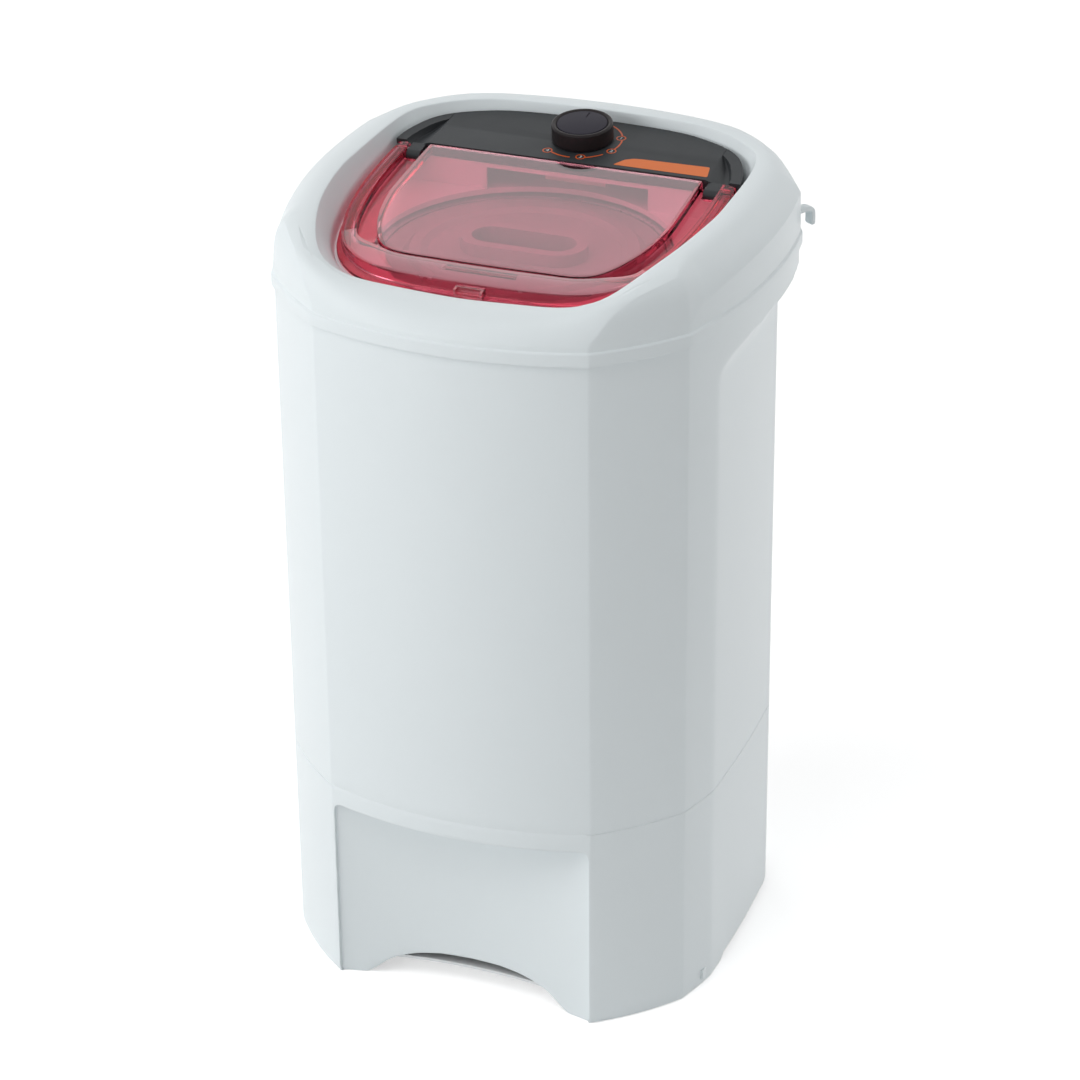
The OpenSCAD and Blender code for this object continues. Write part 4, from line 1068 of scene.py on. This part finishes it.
    def section(self, bearing: float, drifts: Sequence[float]) -> list[Vector]:
        """Returns the cover's closed section, from the flange's foot over the crest and back underneath.

        Args:
            bearing: the section's bearing at the flange.
            drifts: the front corner's drift at each step of the slope.

        Returns:
            The section's points.
        """
        side = -1 if bearing < 0 else 1
        a = abs(bearing)
        pull = soft_lookup(self.shear, a, 1.0)
        points = [(a, r, z) for r, z in self.flange_rows(a)]
        for share, drift in zip(self.shares(), drifts):
            b = a + drift * pull
            low, high = self.slope_foot(b) + self.slope_lift, self.crest_height(b) + self.crest_rise
            points.append((b, soft_min(*self.slope_radius(b, share), self.edge_round), blend(low, high, share)))
        b = a + drifts[-1] * pull
        points += [(b, r, z) for r, z in self.opening_rows(b)]
        ro = PLAN.radius(a)
        inside, foot = ro - self.flange_wall, ro - self.step + 0.3
        points += [(a, inside, max(self.crease_height(a), self.ridge) - 3), (a, inside, self.cabinet_top),
                   (a, foot, self.cabinet_top), (a, foot, self.flange_low)]
        return [Vector((*polar(side * b, r), z)) for b, r, z in points]

    def crease_height(self, bearing: float) -> float:
        """Returns the height of the crease at a bearing."""
        return self.cabinet_top + soft_lookup(self.crease, bearing, 1.2 + 5 * ease(abs(bearing - 59), 4, 16))

    def crest_height(self, bearing: float) -> float:
        """Returns the height of the crest's inner edge at a bearing."""
        return self.cabinet_top + soft_lookup(self.crest, bearing, 10.0) - self.rear_drop * ease(bearing, 95, 150)

    def cut_wells(self, bm: bmesh.types.BMesh) -> None:
        """Adds the well of the lid switch and the pocket of the hose hook."""
        drum(bm, self.well_radius, *self.well_heights, Matrix.Translation(self.switch_well), 24)
        hook, slack = HoseHook(), self.pocket_slack
        half_w = hook.width / 2 + slack
        verts = block(bm, (-3, -half_w, -hook.thick - slack), (5, half_w, slack))
        bmesh.ops.transform(bm, matrix=hook.seat(), verts=verts)

    def build(self) -> None:
        """Makes the top cover."""
        drifts = [self.drift(share) for share in self.shares()]
        sections = [self.section(b, drifts) for b in self.stations()]
        rings = [list(ring) for ring in zip(*sections)]
        bm = bmesh.new()
        sweep(bm, rings + [rings[0]])
        piece = mesh_object("top_cover_rim", bm, 17)
        carve(piece, self.cut_wells, 17)
        mount(piece, Body.MACHINE, WHITE, ["top_cover"])


@dataclass(frozen=True)
class HoseHook:
    """Hook at the rear right corner that carries the drain hose."""

    place: Triple = (206.5, 122.0, 689.0)
    turn: float = 60.0
    reach: float = 17.0
    bend: float = 8.0
    drop: float = 19.0
    width: float = 10.0
    thick: float = 4.5
    tip_inset: float = 1.0
    bend_steps: int = 8
    sides: int = 20
    squareness: float = 0.35

    def seat(self) -> Matrix:
        """Returns the transform from the hook's own frame to the machine's."""
        return Matrix.Translation(self.place) @ Matrix.Rotation(math.radians(self.turn), 4, "Z")

    def path(self) -> list[Triple]:
        """Returns x, z and the turn in degrees of the section's places along the arm and round the bend."""
        half_t = self.thick / 2
        radius = self.bend - half_t
        path = [(-3.0, -half_t, 0.0), (4.0, -half_t, 0.0)]
        for k in range(self.bend_steps + 1):
            a = math.radians(90 - 90 * k / self.bend_steps)
            path.append((self.reach - self.bend + radius * math.cos(a), -self.bend + radius * math.sin(a),
                         90 - math.degrees(a)))
        return path + [(self.reach - half_t, -self.drop + 1.5, 90.0), (self.reach - half_t, -self.drop, 90.0)]

    def section(self, x: float, z: float, turn: float, inset: float) -> list[Vector]:
        """Returns the squarish section at one place of the path, made smaller by inset."""
        half_w, half_t = self.width / 2 - inset, self.thick / 2 - inset
        down = math.radians(turn)
        ring = []
        for k in range(self.sides):
            a = math.tau * k / self.sides
            u = math.copysign(abs(math.cos(a)) ** self.squareness, math.cos(a)) * half_w
            v = math.copysign(abs(math.sin(a)) ** self.squareness, math.sin(a)) * half_t
            ring.append(Vector((x + v * math.sin(down), u, z + v * math.cos(down))))
        return ring

    def build(self) -> None:
        """Makes the hook by carrying its section along the path."""
        path = self.path()
        bm = bmesh.new()
        rings = [self.section(*place, self.tip_inset if n == len(path) - 1 else 0.0) for n, place in enumerate(path)]
        sweep(bm, rings, closed=False)
        bmesh.ops.transform(bm, matrix=self.seat(), verts=bm.verts)
        piece = mesh_object("hose_hook_moulding", bm, 50)
        mount(piece, Body.MACHINE, WHITE, ["hose_hook"])


# ---------------------------------------------------------------- lid


@dataclass(frozen=True)
class Lid:
    """Clear moulding with a raised window, a front ledge, side bars, deep side grooves and a lower flange."""

    window: Loop = field(default_factory=lambda: Loop(RIM_SHAPE, 131, 112, 172))
    edge: Loop = field(default_factory=lambda: Loop(OPENING_SHAPE, 162.5, 143, 172))
    gap: float = 2.0
    bar: float = 14.0
    bar_start: Pair = (40.0, 56.0)
    groove: float = 8.0
    front_groove: float = 1.8
    groove_w: float = 1.3
    thick: float = 3.0
    base: float = 11.0
    flange: float = 14.4
    rear: float = 83.0
    hinge_y: float = 77.0
    hinge_drop: float = 5.0
    cheek_room: Pair = (134.0, 148.6)
    cheek_front: float = 66.0
    pin_x: float = 153.0
    pin_hole: float = 2.6
    flange_end: float = 78.5
    # flat_from, plate_level, bar_from and bar_gap pick the faces that take the darker painted-shade red.
    flat_from: float = 0.75
    plate_level: float = -4.6
    bar_from: float = 58.0
    bar_gap: float = 0.8
    pitch: float = 1.5

    def section(self, bearing: float) -> list[Vector]:
        """Returns the lid's section in the slope's frame, from the window's top out to the flange and back under."""
        a = abs(bearing)
        rw, rl = self.window.radius(a), self.edge.radius(a)
        rf = OPENING_LOOP.radius(a) - self.gap
        side = ease(a, *self.bar_start)
        rb = blend(rw + self.groove_w, max(rl - self.bar, rw + self.groove_w), side)
        deep = blend(self.front_groove, self.groove, side)
        inner = min(rf - 10, rl - 3)
        t = self.thick
        rows = [(rw - 5, 0), (rw - 1.0, -0.02), (rw - 0.35, -0.22), (rw - 0.05, -0.8), (rw, -deep + 0.7),
                (rw + 0.3, -deep), (blend(rw, rb, 0.5), -deep - 0.02), (rb - 0.3, -deep), (rb, -deep + 0.7),
                (rb + 0.05, -1.6), (rb + 0.4, -0.95), (rb + 1.2, -0.7), (blend(rb, rl, 0.45), -0.75),
                (rl - 3.2, -1.1), (rl - 1.4, -1.5), (rl - 0.45, -2.2), (rl, -3.4), (rl + 0.1, -8.8),
                (rl + 0.5, -10.1), (rl + 1.3, -10.8), (blend(rl, rf, 0.6), -11.3), (rf - 0.6, -11.9), (rf, -12.7),
                (rf, -13.9), (rf - 0.5, -self.flange), (inner, -self.flange), (inner, -self.base - 0.3),
                (rl - t, -self.base), (rl - t, -5.0), (rl - t - 1, -4.2), (rb + t + 1, -4.0), (rb + t, -4.8),
                (rb + t - 0.2, -deep - t + 0.6), (rb + t - 0.8, -deep - t), (rw - t + 1.0, -deep - t),
                (rw - t, -deep - t + 1), (rw - t, -t - 1.0), (rw - t - 1, -t), (rw - 6.5, -t)]
        return [Vector((*polar(bearing, r), h)) for r, h in rows]

    def cut_rear(self, bm: bmesh.types.BMesh) -> None:
        """Adds the room for the hinge cheeks, the pin holes and the end of the flange."""
        across = Matrix.Rotation(math.pi / 2, 4, "Y")
        for side in (-1, 1):
            low, high = sorted(side * x for x in self.cheek_room)
            block(bm, (low, self.cheek_front, -30), (high, 95, 5))
            pin = Matrix.Translation((side * self.pin_x, self.hinge_y, -self.hinge_drop))
            drum(bm, self.pin_hole, -8, 20, pin @ across, 24)
        block(bm, (-190, self.flange_end, -20), (190, 100, -self.base + 0.1))

    def is_unshaded_face(self, spot: Vector, normal: Vector) -> bool:
        """Tells whether a face has the plain clear red: the flat plates have it, and walls, side bars and undersides
        take the darker red copy, which is painted shade for light that passes through more plastic.

        Args:
            spot: the face's middle in the slope's frame, in millimetres.
            normal: the face's normal in that frame.

        Returns:
            True for a face of a flat plate.
        """
        bearing = math.degrees(math.atan2(spot.x, -spot.y))
        window = self.window.radius(bearing)
        bar = abs(bearing) > self.bar_from and math.hypot(spot.x, spot.y) > window + self.bar_gap
        return abs(normal.z) > self.flat_from and spot.z > self.plate_level and not bar

    def build(self) -> None:
        """Makes the lid."""
        sections = [self.section(self.pitch * k) for k in range(-round(180 / self.pitch), round(180 / self.pitch))]
        bm = bmesh.new()
        sweep(bm, [list(ring) for ring in zip(*sections)], closed=False)
        bmesh.ops.recalc_face_normals(bm, faces=bm.faces)
        bmesh.ops.triangle_fill(bm, edges=trim(bm, self.rear, 1), use_beauty=True, use_dissolve=True)
        piece = mesh_object("clear_lid", bm, 40)
        carve(piece, self.cut_rear, 40, overlapping=True)
        piece.data.transform(SLOPE_MATRIX)
        mount(piece, Body.LID, CLEAR_RED, ["lid"])
        # Second material: the darker red copy, painted shade on the walls, side bars and undersides.
        piece.data.materials.append(SHOP.material(RED_WALL_SHADE))
        down = SLOPE_MATRIX.inverted()
        for face in piece.data.polygons:
            clear = self.is_unshaded_face(down @ face.center / MM, down.to_3x3() @ face.normal)
            face.material_index = 0 if clear else 1


# ---------------------------------------------------------------- control panel


@dataclass(frozen=True)
class ControlPanel:
    """Dark panel behind the lid with a flat face, a valley and a ridge along each arm, and hinge cheeks."""

    front: float = 86.0
    gap: float = 1.4
    deep: float = 14.4
    label_x: float = 131.0
    ridge_w: float = 10.5
    valley: float = 6.0
    valley_w: float = 13.0
    valley_power: float = 0.7
    valley_ahead: float = 6.0
    valley_rear: float = 146.0
    valley_steps: int = 12
    cheeks: Pair = (134.5, 147.9)
    cheek_front: float = 68.0
    cheek_round: float = 5.5
    cheek_top: float = -2.2
    hollow: tuple[Triple, Triple] = ((-100, 92, -25), (100, 152, -3))

    def outline(self) -> list[Pair]:
        """Returns the panel's rounded outline in the slope's frame."""
        return [polar(b, OPENING_LOOP.radius(b) - self.gap) for b in (2.0 * k for k in range(-90, 90))]

    def ridge_x(self, y: float) -> float:
        """Returns the inner side of the ridge at a distance behind the middle."""
        for b in (k / 2 for k in range(120, 361)):
            x, back = polar(b, OPENING_LOOP.radius(b) - self.gap - self.ridge_w)
            if back >= y:
                return x
        return self.label_x

    def cut_valley(self, bm: bmesh.types.BMesh) -> None:
        """Adds the valleys of the arms and the hollow under the face."""
        for side in (-1, 1):
            rings = []
            for k in range(self.valley_steps + 1):
                y = blend(self.front - self.valley_ahead, self.valley_rear, k / self.valley_steps)
                width = max(self.ridge_x(y), self.label_x + 0.4) - self.label_x
                deep = self.valley * clamp(width / self.valley_w) ** self.valley_power
                rows = ((0, 3), (0, 0.02), (0.15, -0.18 * deep), (0.4, -0.55 * deep), (0.62, -0.92 * deep),
                        (0.72, -deep), (0.88, -0.97 * deep), (0.97, -0.5 * deep), (1.0, 0.02), (1.0, 3))
                rings.append([Vector((side * (self.label_x + width * share), y, h)) for share, h in rows])
            sweep(bm, rings, closed=False)
        block(bm, *self.hollow)

    def build_face(self) -> None:
        """Makes the moulding that carries the dial."""
        bm = bmesh.new()
        sweep(bm, [[Vector((x, y, h)) for x, y in self.outline()] for h in (-self.deep, 0)], closed=False)
        bmesh.ops.edgeloop_fill(bm, edges=trim(bm, self.front, -1))
        piece = mesh_object("control_panel_moulding", bm)
        carve(piece, self.cut_valley)
        piece.data.transform(SLOPE_MATRIX)
        round_edges(piece, 0.7, 3)
        mount(piece, Body.MACHINE, CHARCOAL, ["control_panel"])

    def build_cheeks(self) -> None:
        """Makes the two hinge cheeks, rounded at the front."""
        bm = bmesh.new()
        for side in (-1, 1):
            low, high = sorted(side * x for x in self.cheeks)
            verts = block(bm, (low, self.cheek_front, -self.deep), (high, self.front + 1, self.cheek_top))
            front = {v for v in verts if abs(v.co.y - self.cheek_front) < SAME}
            edges = {e for v in front for e in v.link_edges if e.other_vert(v) in front}
            bevel(bm, [e for e in edges if abs(e.verts[0].co.z - e.verts[1].co.z) < SAME], self.cheek_round, 6)
        cheeks = mesh_object("hinge_cheeks", bm)
        cheeks.data.transform(SLOPE_MATRIX)
        round_edges(cheeks, 0.6, 3)
        mount(cheeks, Body.MACHINE, CHARCOAL)

    def build(self) -> None:
        """Makes the panel and its cheeks."""
        self.build_face()
        self.build_cheeks()


@dataclass(frozen=True)
class DialPrint:
    """Printed marks of the panel: a broken ring, numbered circles and a plain bar."""

    centre: Pair = (0.0, 130.0)
    radius: float = 36.0
    stroke: float = 1.5
    circle: float = 4.6
    circle_stroke: float = 1.1
    circle_sides: int = 32
    lift: float = 0.12
    arc_start: float = 28.0
    arc_gap: float = 8.0
    arc_steps: int = 20
    number_size: float = 6.2
    marks: tuple[Pair, ...] = ((33, 141), (33, 115), (10, 97), (-23, 101))
    bar_round: float = 1.6
    bar: tuple[Pair, ...] = ((43, 91.2), (50, 102.5), (57, 106.5), (66, 107.6), (128, 109.2), (131.5, 91.2))

    def strip(self, bm: bmesh.types.BMesh, points: Sequence[Pair], width: float) -> None:
        """Adds a thin printed line along a path, with square ends.

        Args:
            bm: the mesh to add to.
            points: the path's points.
            width: the line's width.
        """
        rings = []
        for n, (x, y) in enumerate(points):
            ahead, behind = points[min(n + 1, len(points) - 1)], points[max(n - 1, 0)]
            dx, dy = ahead[0] - behind[0], ahead[1] - behind[1]
            length = math.hypot(dx, dy)
            nx, ny = -dy / length * width / 2, dx / length * width / 2
            rings.append([Vector((x + nx, y + ny, 0)), Vector((x + nx, y + ny, self.lift)),
                          Vector((x - nx, y - ny, self.lift)), Vector((x - nx, y - ny, 0))])
        sweep(bm, rings, closed=False)

    def arc(self, start: float, end: float) -> list[Pair]:
        """Returns points of the ring between two angles, clockwise from the rear in degrees."""
        x, y = self.centre
        angles = [math.radians(blend(start, end, k / self.arc_steps)) for k in range(self.arc_steps + 1)]
        return [(x + self.radius * math.sin(a), y + self.radius * math.cos(a)) for a in angles]

    def build_ring(self) -> None:
        """Makes the broken ring and its circles."""
        bm = bmesh.new()
        angles = [math.degrees(math.atan2(x - self.centre[0], y - self.centre[1])) % 360 for x, y in self.marks]
        half = math.degrees(self.circle / self.radius)
        starts = [self.arc_start, angles[0] + half, angles[1] + half + self.arc_gap, angles[2] + half + self.arc_gap]
        for start, end in zip(starts, angles):
            self.strip(bm, self.arc(start, end - half), self.stroke)
        turns = [math.tau * k / self.circle_sides for k in range(self.circle_sides)]
        outer, inner = self.circle, self.circle - self.circle_stroke
        rows = ((outer, 0), (outer, self.lift), (inner, self.lift), (inner, 0), (outer, 0))
        for x, y in self.marks:
            sweep(bm, [[Vector((x + r * math.cos(a), y + r * math.sin(a), h)) for a in turns] for r, h in rows])
        piece = mesh_object("dial_ring_print", bm)
        piece.data.transform(SLOPE_MATRIX)
        mount(piece, Body.MACHINE, RING_ORANGE)

    def build_bar(self) -> None:
        """Makes the plain bar beside the dial."""
        bm = bmesh.new()
        sweep(bm, [[Vector((x, y, h)) for x, y in self.bar] for h in (0, self.lift)], closed=False)
        bevel(bm, [e for e in bm.edges if abs(e.verts[0].co.z - e.verts[1].co.z) > SAME], self.bar_round, 4)
        piece = mesh_object("plain_bar_print", bm)
        piece.data.transform(SLOPE_MATRIX)
        mount(piece, Body.MACHINE, ORANGE)

    def build_numbers(self) -> None:
        """Makes the plain numbers inside the circles."""
        for number, (x, y) in zip("1234", self.marks):
            text = bpy.data.curves.new("number_" + number, "FONT")
            text.body = number
            text.size = self.number_size * MM
            text.align_x = text.align_y = "CENTER"
            text.extrude = self.lift / 2 * MM
            holder = bpy.data.objects.new("number_" + number, text)
            bpy.context.scene.collection.objects.link(holder)
            bpy.context.view_layer.update()
            mesh = bpy.data.meshes.new_from_object(holder.evaluated_get(bpy.context.evaluated_depsgraph_get()))
            bpy.data.objects.remove(holder)
            mesh.name = "dial_number_" + number
            mesh.transform(SLOPE_MATRIX @ Matrix.Translation((x * MM, y * MM, self.lift / 2 * MM)))
            piece = bpy.data.objects.new(mesh.name, mesh)
            bpy.context.scene.collection.objects.link(piece)
            mount(piece, Body.MACHINE, PALE_INK)

    def build(self) -> None:
        """Makes all the printed marks."""
        self.build_ring()
        self.build_bar()
        self.build_numbers()


@dataclass(frozen=True)
class TimerKnob:
    """Round timer knob with a rolled edge and a sunk face that has one pointer line."""

    centre_y: float = 130.5
    radius: float = 28.0
    height: float = 17.0
    bore: float = 3.02
    face_drop: float = 2.0
    pointer_half_w: float = 0.55
    pointer: Pair = (17.0, 8.0)
    pointer_depth: float = 0.95

    def grip_profile(self) -> list[Pair]:
        """Returns the grip's radii and heights, from the bore out underneath and over the rolled edge to the middle."""
        r, h, bore = self.radius, self.height, self.bore
        turns = [math.radians(10 * k) for k in range(10)]
        rolled = [(r - 2 + 2 * math.cos(a), h - 2.2 + 2.2 * math.sin(a)) for a in turns]
        return [(bore, h - 5), (bore, 1.0), (7, 1.0), (7, h - 6), (r - 3, h - 6), (r - 3, 0.6), (r - 0.9, 0.6),
                (r - 0.3, 0.9), (r, 1.6), (r, 5.0), (r - 0.15, 9.0), *rolled, (r - 3.2, h - 0.25), (r - 4.2, h - 0.9),
                (r - 4.8, h - 1.7), (r - 5.0, h - self.face_drop), (0.0, h - self.face_drop)]

    def face_profile(self) -> list[Pair]:
        """Returns the radii and heights of the sunk face."""
        r, h = self.radius, self.height
        return [(0, h - self.face_drop), (r - 5.1, h - self.face_drop), (r - 5.1, h - 1.0), (r - 5.4, h - 0.6),
                (r - 6.0, h - 0.42), (0, h - 0.38)]

    def cut_pointer(self, bm: bmesh.types.BMesh) -> None:
        """Adds the groove of the pointer line."""
        near, far = (self.centre_y + self.radius - inset for inset in self.pointer)
        block(bm, (-self.pointer_half_w, near, self.height - self.pointer_depth),
              (self.pointer_half_w, far, self.height + 1))

    def turned_piece(self, name: str, profile: Sequence[Pair]) -> bpy.types.Object:
        """Returns an object turned about the knob's axis in the slope's frame."""
        bm = bmesh.new()
        turned(bm, profile)
        bmesh.ops.transform(bm, matrix=Matrix.Translation((0, self.centre_y, 0)), verts=bm.verts)
        return mesh_object(name, bm, 45)

    def build(self) -> None:
        """Makes the knob and its face."""
        knob = self.turned_piece("timer_knob_grip", self.grip_profile())
        knob.data.transform(SLOPE_MATRIX)
        mount(knob, Body.KNOB, BLACK_GLOSS, ["timer_knob"])
        face = self.turned_piece("timer_knob_face", self.face_profile())
        carve(face, self.cut_pointer, 40)
        face.data.transform(SLOPE_MATRIX)
        mount(face, Body.KNOB, KNOB_FACE, ["knob_cap"])


# ---------------------------------------------------------------- everything the frame already has


def dress_frame() -> None:
    """Gives every CAD node that stays in view the finish of its slot."""
    slots = node_slots()
    for name, slot in slots.items():
        SHOP.dress_node(name, NODE_FINISH.get(name, SLOT_FINISH[slot]))
    LOG.info("%d frame nodes dressed", len(slots))


def node_slots() -> dict[str, str]:
    """Returns the material slot of each node that the record gives one."""
    found = {}

    def walk(item: object) -> None:
        """Collects slots at any depth of the record."""
        if isinstance(item, dict):
            name = item.get("node") or item.get("name")
            if "material_slot" in item and name in frame["nodes"]:
                found[name] = item["material_slot"]
            for value in item.values():
                walk(value)
        elif isinstance(item, list):
            for value in item:
                walk(value)

    walk(frame["record"])
    return found


# ---------------------------------------------------------------- camera, floor and light


@dataclass(frozen=True)
class Lamp:
    """One large soft lamp that faces the machine."""

    name: str
    place: Triple
    size: float
    power: float

    def build(self) -> None:
        """Makes the lamp."""
        data = bpy.data.lights.new(self.name, "AREA")
        data.shape = "DISK"
        data.size = self.size
        data.energy = self.power
        lamp = bpy.data.objects.new(self.name, data)
        lamp.visible_glossy = False
        lamp.location = self.place
        lamp.rotation_euler = (Vector((0, 0, 0.4)) - Vector(self.place)).to_track_quat("-Z", "Y").to_euler()
        bpy.context.scene.collection.objects.link(lamp)


@dataclass(frozen=True)
class Studio:
    """Pale floor, soft lamps and the camera."""

    turn: float = 21.211
    tilt: float = 27.634
    roll: float = -0.01048
    place: Triple = (1.1131, -2.8551, 1.9976)
    focal: float = 3787.9
    frame_px: float = 1080.0
    shift_px: float = -13.44
    floor_half: float = 6000.0
    floor_glow: float = 0.5
    sky: float = 0.2
    lamps: tuple[Lamp, ...] = (
        Lamp("key_lamp", (-3.0, -1.9, 2.2), 2.2, 45),
        Lamp("front_lamp", (-1.6, -3.6, 1.6), 2.0, 29),
        Lamp("top_lamp", (0.2, 0.4, 4.0), 2.4, 10),
        Lamp("high_lamp", (-0.6, -1.8, 3.8), 2.2, 33),
        Lamp("rear_lamp", (2.2, 2.6, 2.4), 2.0, 26),
        Lamp("side_lamp", (4.0, 0.6, 1.4), 2.0, 23),
        Lamp("far_lamp", (-2.4, 2.8, 2.4), 2.0, 22),
    )

    def camera(self) -> None:
        """Makes the camera at the photograph's place."""
        a, p = math.radians(self.turn), math.radians(self.tilt)
        ahead = Vector((-math.sin(a) * math.cos(p), math.cos(a) * math.cos(p), -math.sin(p)))
        right = Vector((math.cos(a), math.sin(a), 0))
        up = right.cross(ahead)
        across = right * math.cos(self.roll) + up * math.sin(self.roll)
        upright = up * math.cos(self.roll) - right * math.sin(self.roll)
        data = bpy.data.cameras.new("camera")
        data.sensor_width = 36.0
        data.lens = self.focal / self.frame_px * data.sensor_width
        data.shift_y = self.shift_px / self.frame_px
        data.clip_end = 50
        seen = bpy.data.objects.new("camera", data)
        bpy.context.scene.collection.objects.link(seen)
        seen.matrix_world = Matrix((*zip(across, upright, -ahead, self.place), (0, 0, 0, 1)))
        bpy.context.scene.camera = seen

    def floor(self) -> None:
        """Makes the pale floor, which shows white to the camera and keeps the shadow."""
        bm = bmesh.new()
        bmesh.ops.create_grid(bm, x_segments=2, y_segments=2, size=self.floor_half)
        ground = mesh_object("floor", bm)
        recipe = Recipe("pale_floor")
        path = recipe.node("ShaderNodeLightPath")
        recipe.feed(Base_Color=(0.90, 0.90, 0.90), Roughness=0.9, Specular_IOR_Level=0.0)
        camera, glossy, through = (recipe.out(path, name) for name in SEEN_RAYS)
        glow = (camera + glossy + through) * self.floor_glow
        recipe.feed(Emission_Color=(1.0, 1.0, 1.0), Emission_Strength=glow)
        ground.data.materials.append(recipe.material)

    def world(self) -> None:
        """Makes the surroundings: white where they are seen, dimmer where they light."""
        world = bpy.data.worlds.new("soft_surroundings")
        bpy.context.scene.world = world
        world.use_nodes = True
        tree = world.node_tree
        tree.nodes.clear()
        output = tree.nodes.new("ShaderNodeOutputWorld")
        sky = tree.nodes.new("ShaderNodeBackground")
        tree.links.new(sky.outputs["Background"], output.inputs["Surface"])
        path = tree.nodes.new("ShaderNodeLightPath")
        seen, *others = (Value(tree, path.outputs[name]) for name in SEEN_RAYS)
        for ray in others:
            seen = seen.math("MAXIMUM", seen, ray)
        strength = self.sky + (1 - self.sky) * seen
        sky.inputs["Color"].default_value = (1, 1, 1, 1)
        tree.links.new(strength.socket, sky.inputs["Strength"])

    def build(self) -> None:
        """Makes the whole studio."""
        self.camera()
        self.floor()
        self.world()
        for lamp in self.lamps:
            lamp.build()
        bpy.context.scene.view_settings.view_transform = "Standard"


# ---------------------------------------------------------------- assembly


def main() -> None:
    """Builds the studio and every piece of the machine."""
    logging.basicConfig(level=logging.INFO, format="%(name)s: %(message)s")
    dress_frame()
    for part in (Studio(), Cabinet(), TopCover(), HoseHook(), Lid(), ControlPanel(), DialPrint(), TimerKnob()):
        part.build()
        LOG.info("%s built", type(part).__name__)


if __name__ == "__main__":
    main()
